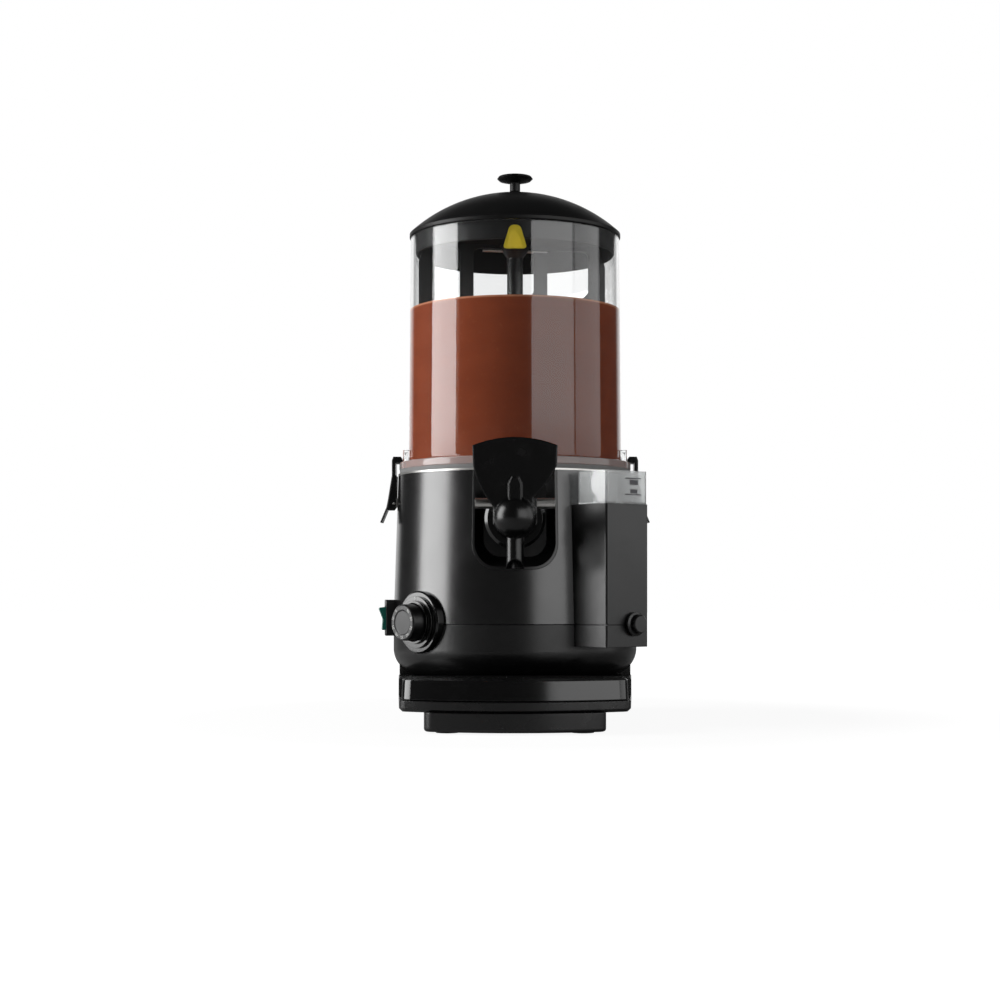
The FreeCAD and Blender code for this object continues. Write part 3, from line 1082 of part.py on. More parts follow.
def latch(side):
    pieces = {
        f"latch_{side}": latch_lever(side),
        f"latch_bracket_{side}": latch_bracket(side),
        f"latch_pin_{side}": cylinder(f"latch_rod_{side}", "latch_pin", "latch_width", "latch_pivot",
                                      "latch_width / 2", "latch_pivot_height", roll=90)}
    for node, thing in pieces.items():
        keep(node, mirrored(node + "_mirrored", thing) if side == "left" else thing)


# ---------------------------------------------------------------- base
def base_outline(inset, back="base_back"):
    """D-shaped plan of the base: bowed front, sides that widen towards the drum, straight back."""
    half_back, half_front = f"(base_half_back - ({inset}))", f"(base_half_front - ({inset}))"
    side, bend = f"-(base_side - ({inset}))", f"(base_bow - ({inset}))"
    wide_at, end = "-base_taper_at", f"({back} - ({inset}))"
    return [(f"-{half_front}", side, bend), (half_front, side), (half_back, wide_at), (half_back, end),
            (f"-{half_back}", end), (f"-{half_back}", wide_at)]


def tray_outline(inset, back):
    """Plan of the tray: the same bow as the base, straight sides and back."""
    half, side = f"(tray_half - ({inset}))", f"-(tray_side - ({inset}))"
    return [(f"-{half}", side, f"(base_bow - ({inset}))"), (half, side), (half, f"-({back} + ({inset}))"),
            (f"-{half}", f"-({back} + ({inset}))")]


def upright(least_y=-math.inf, most_y=math.inf):
    return along(Z_AXIS, lambda m: least_y < m.y < most_y)


def base_housing():
    """Moulded base: ledge under the tray, a step up to the casing's foot, and walls round its rear."""
    body = plate("base_block", TOP, [base_outline("0")], "base_high - base_low", "base_low")
    rounded(body, "base_corner", upright(most_y=0))
    rounded(body, "base_corner * 2", upright(least_y=size("base_back / 2")))
    rounded(body, "base_wall", level(size("base_low")), "Chamfer")
    for end, low in (("-tray_back + slide_gap", "base_ledge"), ("-base_step_at", "casing_foot")):
        pocket(body, TOP, [[(f"-{BEYOND}", f"-{BEYOND}"), (BEYOND, f"-{BEYOND}"), (BEYOND, end),
                            (f"-{BEYOND}", end)]], "base_high", low)
    pocket(body, TOP, [base_outline("cover_inset")], "cover_thick", "base_low")
    room = "(base_half_front - 14)"
    floor = "(base_low + cover_thick)"
    pocket(body, TOP, [rectangle(room, "-base_side + 18", "-tray_back - base_wall")],
           f"base_ledge - base_wall - {floor}", floor)
    pocket(body, TOP, [rectangle(room, "-tray_back + 2 * base_wall", "base_back - 3 * base_wall")],
           f"casing_foot - base_wall - {floor}", floor)
    nest = turned("base_nest", [
        ("0", "casing_foot"), (f"{SEAM_RADIUS} - casing_round", "casing_foot", "casing_round"),
        (SEAM_RADIUS, "casing_foot + casing_round"), (SEAM_RADIUS, "seam_height"), ("0", "seam_height")])
    hole = cylinder("base_hole", "inner_hole", BEYOND, z=floor)
    cuts = combine("Fuse", "base_cuts", [nest, hole])
    return keep("base_housing", combine("Cut", "base_cut", [body, cuts]))


def base_cover():
    """Sheet set into the underside of the base, with vent slots under the motor."""
    body = plate("cover_sheet", TOP, [base_outline("cover_inset + rest_gap")], "cover_thick", "base_low")
    slots = [rectangle("slot_side / 2", f"{row} * vent_pitch - vent_half", f"{row} * vent_pitch + vent_half")
             for row in range(-1, 6)]
    pocket(body, TOP, slots, "cover_thick * 2", "base_low - cover_thick / 2")
    return keep("base_cover", body)


def plinth_outline(inset):
    half, side = f"(plinth_half - ({inset}))", f"(-(base_side + 12) + ({inset}))"
    end = f"(base_back - plinth_inset - ({inset}))"
    return [(f"-{half}", side, f"(base_bow - ({inset}))"), (half, side), (half, end), (f"-{half}", end)]


def plinth():
    """Narrower foot of the base, a shallow pan with a bowed front and an opening under the vents."""
    body = plate("plinth_block", TOP, [plinth_outline("0")], "base_low - foot_height", "foot_height")
    rounded(body, "base_corner", upright())
    rounded(body, "base_wall", level(size("foot_height")))
    pocket(body, TOP, [plinth_outline("base_wall * 2")], "base_low - foot_height - cover_thick",
           "foot_height + cover_thick")
    vents = rectangle("slot_side / 2 + vent_half", "-vent_pitch * 2", "vent_pitch * 6")
    pocket(body, TOP, [vents], BEYOND, "0")
    return keep("plinth", body)


FEET = [("plinth_half - 22", "-(base_side - 8)"), ("-(plinth_half - 22)", "-(base_side - 8)"),
        ("plinth_half - 22", "base_back - 34"), ("-(plinth_half - 22)", "base_back - 34")]


def feet():
    """Rubber pads under the plinth, and the screws that hold the plinth to the base's cover."""
    floor = "(foot_height + cover_thick)"
    pads, screws = [], []
    for number, (x, y) in enumerate(FEET):
        pads.append(cylinder(f"foot_{number}", "foot_radius", "foot_height", x, y))
        screws.append(cylinder(f"screw_head_{number}", "screw_head", "screw_radius + 0.5", x, y, floor))
        screws.append(cylinder(f"screw_shank_{number}", "screw_radius", f"base_low - {floor}", x, y, floor))
    keep("feet", combine("Fuse", "feet_joined", pads))
    keep("base_screws", combine("Fuse", "screws_joined", screws))


def drip_tray():
    low = "(base_ledge + rest_gap)"
    body = plate("tray_block", TOP, [tray_outline("0", "tray_back")], f"tray_top - {low}", low)
    middle = size("-(tray_side + tray_back) / 2")
    rounded(body, "base_corner * 0.7", upright(most_y=middle))
    rounded(body, "base_corner / 3", upright(least_y=middle))
    pocket(body, TOP, [tray_outline("tray_wall", "tray_back")], "tray_top", f"{low} + tray_wall")
    step = "(tray_top - grid_thick)"
    pocket(body, TOP, [tray_outline("tray_wall / 2", "(grid_back - 2)")], "tray_top", step)
    return keep("drip_tray", body)


def drip_grid():
    """Slotted plate that lies on the tray's inner step."""
    edge = "(tray_wall / 2 + rest_gap)"
    body = plate("grid_plate", TOP, [tray_outline(edge, "grid_back")], "grid_thick",
                 "tray_top - grid_thick")
    slots = []
    for row in range(4):
        far = f"(grid_back + grid_margin * 2 + slot_pitch * {row})"
        slots.append([("-slot_side", f"-{far} - 2 * slot_half"), ("-8", f"-{far} - 2 * slot_half"),
                      ("-8", f"-{far}"), ("-slot_side", f"-{far}")])
        slots.append([("8", f"-{far} - 2 * slot_half"), ("slot_side", f"-{far} - 2 * slot_half"),
                      ("slot_side", f"-{far}"), ("8", f"-{far}")])
    pocket(body, TOP, slots, "grid_thick * 3", "tray_top - grid_thick * 2")
    return keep("drip_grid", body)


# ---------------------------------------------------------------- mains side
def mains():
    reach = f"({SEAM_RADIUS} - casing_wall - shell_wall - 6)"
    gland = turned("gland_turned", [
        ("cord_hole", reach), ("gland_radius - 2", reach), ("gland_radius - 2", f"{SEAM_RADIUS} + 0.5"),
        ("gland_radius", f"{SEAM_RADIUS} + 0.5"), ("gland_radius", f"{SEAM_RADIUS} + 6"),
        ("gland_radius - 2", f"{SEAM_RADIUS} + 13"), ("cord_hole", f"{SEAM_RADIUS} + 13")])
    keep("cable_gland", face_out(gland, "180", "gland_height"))
    keep("terminal_block", block("terminals", "terminal_wide", "terminal_long", "terminal_high",
                                 "-inner_hole - terminal_set", "-terminal_long / 2",
                                 "casing_foot + casing_wall"))


def build():
    outer_shell(), lower_casing(), tap_niche()
    bowl(), bowl_gasket(), lid(), lid_knob()
    pot(), water_jacket(), heating_element(), thermal_cutout()
    stirrer(), cross_pin(), drive_shaft()
    bush("shaft_bush", "tube_top - bush_length", "tube_radius - tube_wall")
    drink()
    gears(), gearbox(), motor()
    tap_body(), tap_collar(), tap_seal(), tap_piston(), tap_spring(), tap_lever(), tap_pin()
    dial(), thermostat(), switch(), filler(), drain_cock()
    latch("right"), latch("left")
    base_housing(), base_cover(), plinth(), feet(), drip_tray(), drip_grid(), mains()


build()
doc.recompute()
for thing in doc.Objects:
    assert not {"Invalid", "Error"} & set(thing.State), f"{thing.Name} failed: {thing.State}"
for node, piece in parts.items():
    assert not piece.Shape.isNull() and piece.Shape.isValid() and piece.Shape.Volume > 0, node
os.makedirs("parts", exist_ok=True)
for node, piece in parts.items():
    piece.Shape.exportStep(f"parts/{node}.step")
    print(f"{node:24s} {len(piece.Shape.Solids)} solids {piece.Shape.Volume / 1000:9.1f} cm3")
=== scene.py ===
import math

import bmesh
import bpy
from mathutils import Matrix, Vector


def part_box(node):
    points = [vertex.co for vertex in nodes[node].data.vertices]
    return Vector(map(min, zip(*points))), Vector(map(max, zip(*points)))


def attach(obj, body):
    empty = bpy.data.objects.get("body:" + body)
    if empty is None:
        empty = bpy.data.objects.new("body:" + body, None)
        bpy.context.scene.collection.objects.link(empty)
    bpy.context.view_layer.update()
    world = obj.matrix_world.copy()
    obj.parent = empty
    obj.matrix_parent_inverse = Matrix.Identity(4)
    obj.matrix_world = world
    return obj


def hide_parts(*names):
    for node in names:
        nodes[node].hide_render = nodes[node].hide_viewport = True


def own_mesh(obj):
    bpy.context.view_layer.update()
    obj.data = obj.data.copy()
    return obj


# Looks of a hot chocolate dispenser: metres, +Z up, -Y to the front, origin on the drum's axis at the table.
# The machine's own meshes are written in millimetres and turned to metres by piece(). Shaders, floor, lamps
# and camera are written in metres.

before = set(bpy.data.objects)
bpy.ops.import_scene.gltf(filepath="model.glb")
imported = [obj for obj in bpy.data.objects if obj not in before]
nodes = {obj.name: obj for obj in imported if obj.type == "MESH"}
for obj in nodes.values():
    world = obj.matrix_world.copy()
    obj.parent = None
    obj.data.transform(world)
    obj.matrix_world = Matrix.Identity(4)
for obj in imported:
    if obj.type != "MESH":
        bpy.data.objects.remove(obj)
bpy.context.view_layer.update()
MM = 0.001

BOWL_FOOT, BOWL_TOP = (corner.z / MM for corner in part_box("clear_bowl"))
FLANGE_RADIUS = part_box("clear_bowl")[1].x / MM
FLANGE_THICK = 7.5
BOWL_RADIUS, BOWL_TAPER, BOWL_WALL = 111.3, 2.1, 4.5
DRINK_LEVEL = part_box("drink")[1].z / MM
SEAM_RADIUS = 129.6
DIAL_AZIMUTH, DIAL_HEIGHT = -48.0, 104.0
FILLER_AZIMUTH = 40.0


# ---------------------------------------------------------------- shader nodes
class Signal:
    """What a socket gives over the surface. Python's operators on it add Math nodes."""

    def __init__(self, finish, socket):
        self.finish = finish
        self.socket = socket

    def maths(self, operation, first, second):
        return self.finish.node("ShaderNodeMath", {"operation": operation}, {0: first, 1: second})

    def __add__(self, other):
        return self.maths("ADD", self, other)

    def __sub__(self, other):
        return self.maths("SUBTRACT", self, other)

    def __rsub__(self, other):
        return self.maths("SUBTRACT", other, self)

    def __mul__(self, other):
        return self.maths("MULTIPLY", self, other)

    def most(self, other):
        return self.maths("MAXIMUM", self, other)

    def under(self, other):
        return self.maths("LESS_THAN", self, other)

    __radd__ = __add__
    __rmul__ = __mul__


class Finish:
    """A material while its nodes are added."""

    def __init__(self, tree):
        self.tree = tree
        tree.nodes.clear()

    def node(self, kind, settings=None, inputs=None, output=0):
        """Add a node: settings first, then a value or a Signal for each socket, by name or number."""
        made = self.tree.nodes.new(kind)
        for key, value in (settings or {}).items():
            if key == "stops":
                for stop, (position, shade) in zip(made.color_ramp.elements, value):
                    stop.position = position
                    stop.color = (shade, shade, shade, 1)
            else:
                setattr(made, key, value)
        for key, value in (inputs or {}).items():
            if isinstance(value, Signal):
                self.tree.links.new(value.socket, made.inputs[key])
            else:
                made.inputs[key].default_value = value
        return Signal(self, made.outputs[output]) if made.outputs else None

    def place(self, stretch=(1, 1, 1)):
        """Position on the object in metres, stretched so that a pattern can run along an axis."""
        spot = self.node("ShaderNodeTexCoord", output=3)
        return self.node("ShaderNodeMapping", inputs={"Vector": spot, "Scale": stretch})

    def height(self):
        return self.node("ShaderNodeSeparateXYZ", inputs={0: self.place()}, output=2)

    def noise(self, scale, detail=3.0, stretch=(1, 1, 1)):
        return self.node("ShaderNodeTexNoise", inputs={
            "Vector": self.place(stretch), "Scale": scale, "Detail": detail})

    def ray(self, fact):
        """What Light Path says of the ray that meets the surface."""
        return self.node("ShaderNodeLightPath", output=fact)

    def band(self, signal, low, high):
        """0 below low, 1 above high, and a slope between them."""
        return self.node("ShaderNodeValToRGB", {"stops": ((low, 0), (high, 1))}, {"Fac": signal})

    def blend(self, share, one, other):
        return self.node("ShaderNodeMix", {"data_type": "RGBA"}, {0: share, 6: one, 7: other}, 2)

    def relief(self, height, strength, depth, edge=0.0):
        """Bumps of a height field over edges that look rounded to a radius."""
        inputs = {"Height": height, "Strength": strength, "Distance": depth}
        if edge:
            inputs["Normal"] = self.node("ShaderNodeBevel", {"samples": 4}, {"Radius": edge})
        return self.node("ShaderNodeBump", inputs=inputs)

    def surface(self, shader):
        self.node("ShaderNodeOutputMaterial", inputs={"Surface": shader})


def rgb(red, green, blue):
    return (red, green, blue, 1)


def material(name, make, **options):
    made = bpy.data.materials.new(name)
    made.use_nodes = True
    make(Finish(made.node_tree), **options)
    return made


# ---------------------------------------------------------------- finishes
def moulded_black(finish, tone, gloss, grain=0.25, edge=0.0009, specular=0.5):
    """Black plastic from a mould: fine grain, slightly uneven gloss, a little dust in places."""
    cloud = finish.noise(14, 4)
    dust = finish.band(finish.noise(55, 8), 0.56, 0.82)
    pale = rgb(tone * 2.2 + 0.004, tone * 2.2 + 0.004, tone * 2.1 + 0.004)
    finish.surface(finish.node("ShaderNodeBsdfPrincipled", inputs={
        "Base Color": finish.blend(dust * 0.5, rgb(tone, tone, tone * 1.05), pale),
        "Roughness": cloud * 0.12 + (gloss - 0.06) + dust * 0.08,
        "Specular IOR Level": specular,
        "Normal": finish.relief(finish.noise(1400, 2), grain, 0.00008, edge)}))


def painted_black(finish, tone, gloss, specular):
    """Satin paint on sheet steel: faint orange peel and rubbed patches."""
    peel = finish.noise(420, 2)
    rubbed = finish.band(finish.noise(22, 6), 0.5, 0.75)
    finish.surface(finish.node("ShaderNodeBsdfPrincipled", inputs={
        "Base Color": finish.blend(rubbed, rgb(tone, tone, tone * 1.04),
                                   rgb(tone * 1.5, tone * 1.5, tone * 1.5)),
        "Roughness": finish.noise(9, 3) * 0.1 + (gloss - 0.05) + rubbed * 0.04,
        "Specular IOR Level": specular,
        "Normal": finish.relief(peel, 0.12, 0.00012, 0.0006)}))


def clear_moulding(finish, tint, haze, milky, top=None):
    """Clear plastic that lets the lamps' light through, with wiped smears on it. A share of it is milky, all
    over or up to a height."""
    smear = finish.band(finish.noise(30, 6, (1, 1, 0.25)), 0.58, 0.8)
    body = finish.node("ShaderNodeBsdfPrincipled", inputs={
        "Base Color": tint, "Roughness": smear * haze + 0.004, "IOR": 1.49, "Transmission Weight": 1.0,
        "Normal": finish.relief(finish.noise(35, 2), 0.03, 0.0003)})
    frost = finish.node("ShaderNodeBsdfPrincipled", inputs={
        "Base Color": rgb(0.72, 0.73, 0.73), "Roughness": smear * 0.1 + 0.12, "Transmission Weight": 0.3})
    share = milky
    if top:
        share = milky - finish.band((finish.height() - (top - 0.5 * MM)) * (1 / MM), 0.1, 0.9) * milky
    body = finish.node("ShaderNodeMixShader", inputs={0: share, 1: body, 2: frost})
    passed = finish.node("ShaderNodeBsdfTransparent", inputs={"Color": rgb(0.93, 0.94, 0.94)})
    finish.surface(finish.node("ShaderNodeMixShader", inputs={
        0: finish.ray("Is Shadow Ray"), 1: body, 2: passed}))


def chocolate_drink(finish, level):
    """Thick brown liquid with slow streaks, and a paler band just under its level, where it meets the bowl.
    """
    streak = finish.noise(16, 5, (1, 1, 3))
    fleck = finish.band(finish.noise(260, 3), 0.62, 0.8)
    # Paler colour in a thin band just under the drink's level, where it meets the bowl's wall.
    skin = finish.band((finish.height() - (level - 2.4 * MM)) * (1 / (1.2 * MM)), 0.1, 0.9)
    body = finish.blend(streak, rgb(0.19, 0.043, 0.018), rgb(0.24, 0.056, 0.023))
    body = finish.blend(fleck * 0.3, body, rgb(0.30, 0.10, 0.05))
    finish.surface(finish.node("ShaderNodeBsdfPrincipled", inputs={
        "Base Color": finish.blend(skin, body, rgb(0.47, 0.20, 0.11)),
        "Roughness": streak * 0.04 + 0.09, "Specular IOR Level": 0.25,
        "Normal": finish.relief(finish.noise(60, 3), 0.03, 0.0003)}))


def bare_steel(finish, shade, gloss, stretch, edge=0.0004):
    """Stainless steel with a drawn or turned grain along one axis."""
    drawn = finish.noise(700, 3, stretch)
    stain = finish.band(finish.noise(45, 5), 0.5, 0.85)
    finish.surface(finish.node("ShaderNodeBsdfPrincipled", inputs={
        "Base Color": finish.blend(stain * 0.6, rgb(shade, shade * 0.985, shade * 0.955),
                                   rgb(shade * 0.72, shade * 0.68, shade * 0.62)),
        "Metallic": 1.0,
        "Roughness": drawn * 0.18 + (gloss - 0.09) + stain * 0.06,
        "Normal": finish.relief(drawn, 0.12, 0.00005, edge)}))


def soft_rubber(finish, tone, gloss):
    """Rubber with a matt bloom."""
    bloom = finish.band(finish.noise(70, 7), 0.4, 0.8)
    finish.surface(finish.node("ShaderNodeBsdfPrincipled", inputs={
        "Base Color": finish.blend(bloom * 0.5, rgb(tone, tone, tone),
                                   rgb(tone * 1.5, tone * 1.5, tone * 1.48)),
        "Roughness": bloom * 0.1 + gloss,
        "Normal": finish.relief(finish.noise(900, 3), 0.3, 0.0001, 0.0006)}))


def coloured_moulding(finish, colour, gloss, uneven=0.12):
    """Plain coloured plastic whose colour and gloss vary a little over the piece."""
    cloud = finish.noise(60, 4)
    darker = tuple(channel * (1 - 2 * uneven) for channel in colour[:3]) + (1,)
    finish.surface(finish.node("ShaderNodeBsdfPrincipled", inputs={
        "Base Color": finish.blend(cloud, colour, darker),
        "Roughness": cloud * 0.15 + (gloss - 0.07),
        "Normal": finish.relief(finish.noise(1200, 2), 0.15, 0.00006, 0.0005)}))


def turned_metal(finish, colour, gloss):
    """Yellow or grey cast and turned metal."""
    pits = finish.noise(520, 6)
    cloud = finish.noise(40, 4)
    darker = tuple(channel * 0.7 for channel in colour[:3]) + (1,)
    finish.surface(finish.node("ShaderNodeBsdfPrincipled", inputs={
        "Base Color": finish.blend(cloud, colour, darker), "Metallic": 1.0,
        "Roughness": cloud * 0.2 + (gloss - 0.1),
        "Normal": finish.relief(pits, 0.25, 0.0001, 0.0004)}))


DRUM_PAINT = material("drum_paint", painted_black, tone=0.004, gloss=0.22, specular=1.0)
CASING_BLACK = material("casing_black", moulded_black, tone=0.004, gloss=0.31, specular=0.6)
BASE_BLACK = material("base_black", moulded_black, tone=0.004, gloss=0.26, grain=0.3, edge=0.0012,
                      specular=0.6)
LID_BLACK = material("lid_black", moulded_black, tone=0.003, gloss=0.44, grain=0.5, specular=0.3)
TAP_BLACK = material("tap_black", moulded_black, tone=0.003, gloss=0.24, grain=0.2, edge=0.0024)
TRAY_BLACK = material("tray_black", moulded_black, tone=0.003, gloss=0.15, grain=0.06, edge=0.0005,
                      specular=0.7)
STIRRER_BLACK = material("stirrer_black", moulded_black, tone=0.005, gloss=0.38, grain=0.2)
BOWL_CLEAR = material("bowl_clear", clear_moulding, tint=rgb(0.985, 0.99, 0.99), haze=0.05, milky=0.55,
                      top=(BOWL_FOOT + FLANGE_THICK + 1) * MM)
CUP_CLEAR = material("cup_clear", clear_moulding, tint=rgb(0.95, 0.965, 0.965), haze=0.10, milky=0.4)
CHOCOLATE = material("chocolate", chocolate_drink, level=DRINK_LEVEL * MM)
PIN_STEEL = material("pin_steel", bare_steel, shade=0.62, gloss=0.30, stretch=(0.04, 1, 1))
SHEET_STEEL = material("sheet_steel", bare_steel, shade=0.55, gloss=0.34, stretch=(1, 1, 0.05))
HEATER_STEEL = material("heater_steel", bare_steel, shade=0.30, gloss=0.45, stretch=(1, 1, 1))
GASKET_GREY = material("gasket_grey", soft_rubber, tone=0.20, gloss=0.55)
RUBBER_BLACK = material("rubber_black", soft_rubber, tone=0.014, gloss=0.6)
ROCKER_GREEN = material("rocker_green", coloured_moulding, colour=rgb(0.01, 0.20, 0.15), gloss=0.22)
PART_CREAM = material("part_cream", coloured_moulding, colour=rgb(0.55, 0.52, 0.44), gloss=0.45)
GEAR_NYLON = material("gear_nylon", coloured_moulding, colour=rgb(0.76, 0.75, 0.68), gloss=0.40,
                      uneven=0.06)
BRONZE = material("bronze", turned_metal, colour=rgb(0.66, 0.42, 0.20), gloss=0.35)
CAST_GREY = material("cast_grey", turned_metal, colour=rgb(0.55, 0.56, 0.57), gloss=0.5)
MARK_WHITE = material("mark_white", coloured_moulding, colour=rgb(0.75, 0.75, 0.73), gloss=0.5, uneven=0.05)
MARK_GREY = material("mark_grey", coloured_moulding, colour=rgb(0.10, 0.10, 0.11), gloss=0.5, uneven=0.05)
STICKER_YELLOW = material("sticker_yellow", coloured_moulding, colour=rgb(0.80, 0.62, 0.03), gloss=0.35,
                          uneven=0.05)


# ---------------------------------------------------------------- meshes
def eased(corners, radius, steps=4, guard=0.5):
    """Points of a closed line whose corners are each cut round by up to a radius. A guard point beside each
    end of a round keeps its shading off the straight walls."""
    line = []
    for index, corner in enumerate(corners):
        here = Vector(corner)
        before, after = Vector(corners[index - 1]), Vector(corners[(index + 1) % len(corners)])
        start = here + (before - here).normalized() * min(radius, (before - here).length * 0.45)
        end = here + (after - here).normalized() * min(radius, (after - here).length * 0.45)
        if (before - here).length > 4 * guard:
            line.append(start + (before - here).normalized() * guard)
        for step in range(steps + 1):
            share = step / steps
            line.append(start.lerp(here, share).lerp(here.lerp(end, share), share))
        if (after - here).length > 4 * guard:
            line.append(end + (after - here).normalized() * guard)
    return [tuple(point) for point in line]


def arc(centre, radius, first, last, steps):
    """Points of an arc in the (radius, height) plane, angles in degrees from the outward direction."""
    turns = [math.radians(first + (last - first) * step / steps) for step in range(steps + 1)]
    return [(centre[0] + radius * math.cos(a), centre[1] + radius * math.sin(a)) for a in turns]


def piece(name, shape, look, body, corner=40.0, stands_for=()):
    """Turn a bmesh in millimetres into a piece: its finish, its body, and the CAD nodes it stands for."""
    bmesh.ops.scale(shape, vec=Vector((MM, MM, MM)), verts=shape.verts)
    bmesh.ops.recalc_face_normals(shape, faces=shape.faces)
    mesh = bpy.data.meshes.new(name)
    shape.to_mesh(mesh)
    shape.free()
    mesh.shade_smooth()
    mesh.set_sharp_from_angle(angle=math.radians(corner))
    mesh.materials.append(look)
    made = bpy.data.objects.new(name, mesh)
    bpy.context.scene.collection.objects.link(made)
    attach(made, body)
    if stands_for:
        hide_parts(*stands_for)
    return made


def lathe(profile, segments):
    """Turn a closed line of (radius, height) points round the Z axis."""
    shape = bmesh.new()
    rings = []
    for radius, height in profile:
        if radius < 1e-6:
            rings.append([shape.verts.new((0, 0, height))] * segments)
            continue
        rings.append([shape.verts.new((radius * math.cos(2 * math.pi * s / segments),
                                       radius * math.sin(2 * math.pi * s / segments), height))
                      for s in range(segments)])
    for one, other in zip(rings, rings[1:] + rings[:1]):
        for s in range(segments):
            after = (s + 1) % segments
            corners = []
            for vertex in (one[s], one[after], other[after], other[s]):
                if vertex not in corners:
                    corners.append(vertex)
            if len(corners) > 2:
                shape.faces.new(corners)
    return shape


def skin(lines):
    """Solid through closed lines of points, one after the other, with a cap on the first and the last."""
    shape = bmesh.new()
    rings = [[shape.verts.new(point) for point in line] for line in lines]
    for one, other in zip(rings, rings[1:]):
        for index in range(len(one)):
            after = (index + 1) % len(one)
            shape.faces.new((one[index], one[after], other[after], other[index]))
    shape.faces.new(rings[0])
    shape.faces.new(rings[-1])
    return shape


def prism(outline, low, high):
    """Solid on a closed line of (x, y) points between two heights."""
    return skin([[(x, y, height) for x, y in outline] for height in (low, high)])


def outward(azimuth, reach, height):
    """Frame whose Z axis points out of the drum at an azimuth and whose Y axis is up."""
    turn = math.radians(azimuth)
    return (Matrix.Translation((reach * math.sin(turn), -reach * math.cos(turn), height))
            @ Matrix.Rotation(turn, 4, "Z") @ Matrix.Rotation(math.radians(90), 4, "X"))


# ---------------------------------------------------------------- bowl and drink
def bowl_wall(height):
    """Outer radius of the bowl at a height: it narrows a little upwards."""
    return BOWL_RADIUS + BOWL_TAPER * (BOWL_TOP - height) / (BOWL_TOP - BOWL_FOOT)


def make_bowl():
    """Clear wall on a flange, with a pair of locating lugs beside each latch."""
    flange_top = BOWL_FOOT + FLANGE_THICK
    inner = BOWL_RADIUS - BOWL_WALL
    outline = [
        (inner + BOWL_TAPER, BOWL_FOOT), (FLANGE_RADIUS, BOWL_FOOT), (FLANGE_RADIUS, flange_top),
        (bowl_wall(flange_top) + 1.5, flange_top), (bowl_wall(flange_top + 2), flange_top + 2),
        (BOWL_RADIUS, BOWL_TOP), (inner, BOWL_TOP)]
    piece("bowl", lathe(eased(outline, 0.9), 256), BOWL_CLEAR, "root", stands_for=["clear_bowl"])
    near, far, half, rise, spread = 113.6, 120, 4, 13, 9
    for number, angle in enumerate((spread, -spread, 180 - spread, 180 + spread)):
        lug = prism(eased([(near, -half), (far, -half), (far, half), (near, half)], 1.2),
                    flange_top - 0.6, flange_top + rise)
        top_edges = [e for e in lug.edges if min(v.co.z for v in e.verts) > flange_top + rise - 1]
        bmesh.ops.bevel(lug, geom=top_edges, offset=0.9, segments=3, profile=0.5, affect="EDGES")
        bmesh.ops.rotate(lug, matrix=Matrix.Rotation(math.radians(angle), 3, "Z"), verts=lug.verts)
        piece(f"bowl_lug_{number}", lug, BOWL_CLEAR, "root")


def make_drink():
    """The liquid fills the pot, touches the bowl all round, climbs its wall a little, and clears the middle
    tube."""
    tube, pot, floor, shoulder = 7.1, 91.6, 181, BOWL_FOOT - 4.2
    climb_wide, climb_high, touch = 2.2, 1.5, 0.06

    def side(height):
        return bowl_wall(height) - BOWL_WALL + touch

    climb = [(side(DRINK_LEVEL) - climb_wide * share,
              DRINK_LEVEL - climb_high * math.sin(share * math.pi / 2) ** 0.5)
             for share in (0, 0.15, 0.3, 0.5, 0.75, 1)]
    outline = [(tube, floor), (76, floor), (90, floor + 9), (pot, floor + 19), (pot, shoulder),
               (side(shoulder) - 0.2, shoulder), (side(shoulder) - 0.2, BOWL_FOOT + 0.2),
               (side(BOWL_FOOT + 1), BOWL_FOOT + 1)]
    shape = lathe(outline + climb + [(tube, DRINK_LEVEL - climb_high)], 256)
    piece("chocolate_in_bowl", shape, CHOCOLATE, "stirrer", stands_for=["drink"])


# ---------------------------------------------------------------- lid
def make_lid():
    """Domed lid: rolled brim, flat ring above it, shallow dome, and a skirt inside the bowl."""
    seat, brim = BOWL_TOP + 0.3, BOWL_RADIUS + 1.2
    top, rise, wall, screw_hole = seat + 47.5, 43.5, 2.5, 2.2
    crown = brim ** 2 / (2 * rise) + rise / 2
    middle = (0, top - crown)

    def lean(radius, reach):
        return math.degrees(math.asin(radius / reach))

    dome = arc(middle, crown, 90 - lean(brim, crown), 90 - lean(screw_hole, crown), 40)
    under = arc(middle, crown - wall, 90 - lean(screw_hole, crown - wall),
                90 - lean(brim, crown) * 0.925, 30)
    skirt, skirt_wall, foot = BOWL_RADIUS - BOWL_WALL - 1.0, 1.8, seat - 19.2
    outline = [(skirt - skirt_wall, foot), (skirt - 0.4, foot), (skirt, foot + 0.4), (skirt, seat),
               (brim - 0.8, seat), (brim, seat + 0.8), (brim, seat + 3.4)]
    shape = lathe(outline + dome + under + [(skirt - skirt_wall, seat + 2)], 256)
    piece("lid_dome", shape, LID_BLACK, "lid", 30.0, ["lid", "lid_skirt"])


# ---------------------------------------------------------------- drip tray
def tray_line(spread):
    """Plan of the tray, wider by spread all round: bowed front, straight sides and back, round corners."""
    half, side, back, bow = 108.5 + spread, 199 + spread, 116.5 - spread, 215 + spread
    middle = side - math.sqrt(bow ** 2 - half ** 2)
    cut = 9.0

    def front(x):
        return Vector((x, -(middle + math.sqrt(bow ** 2 - x ** 2))))

    line = [front((half - cut) * share / 16) for share in range(17)]
    for start, corner, end in (
            (front(half - cut), Vector((half, -side)), Vector((half, cut - side))),
            (Vector((half, -back - cut / 2)), Vector((half, -back)), Vector((half - cut / 2, -back)))):
        line += [start.lerp(corner, s / 8).lerp(corner.lerp(end, s / 8), s / 8) for s in range(9)]
    return line + [Vector((-p.x, p.y)) for p in reversed(line[1:])]


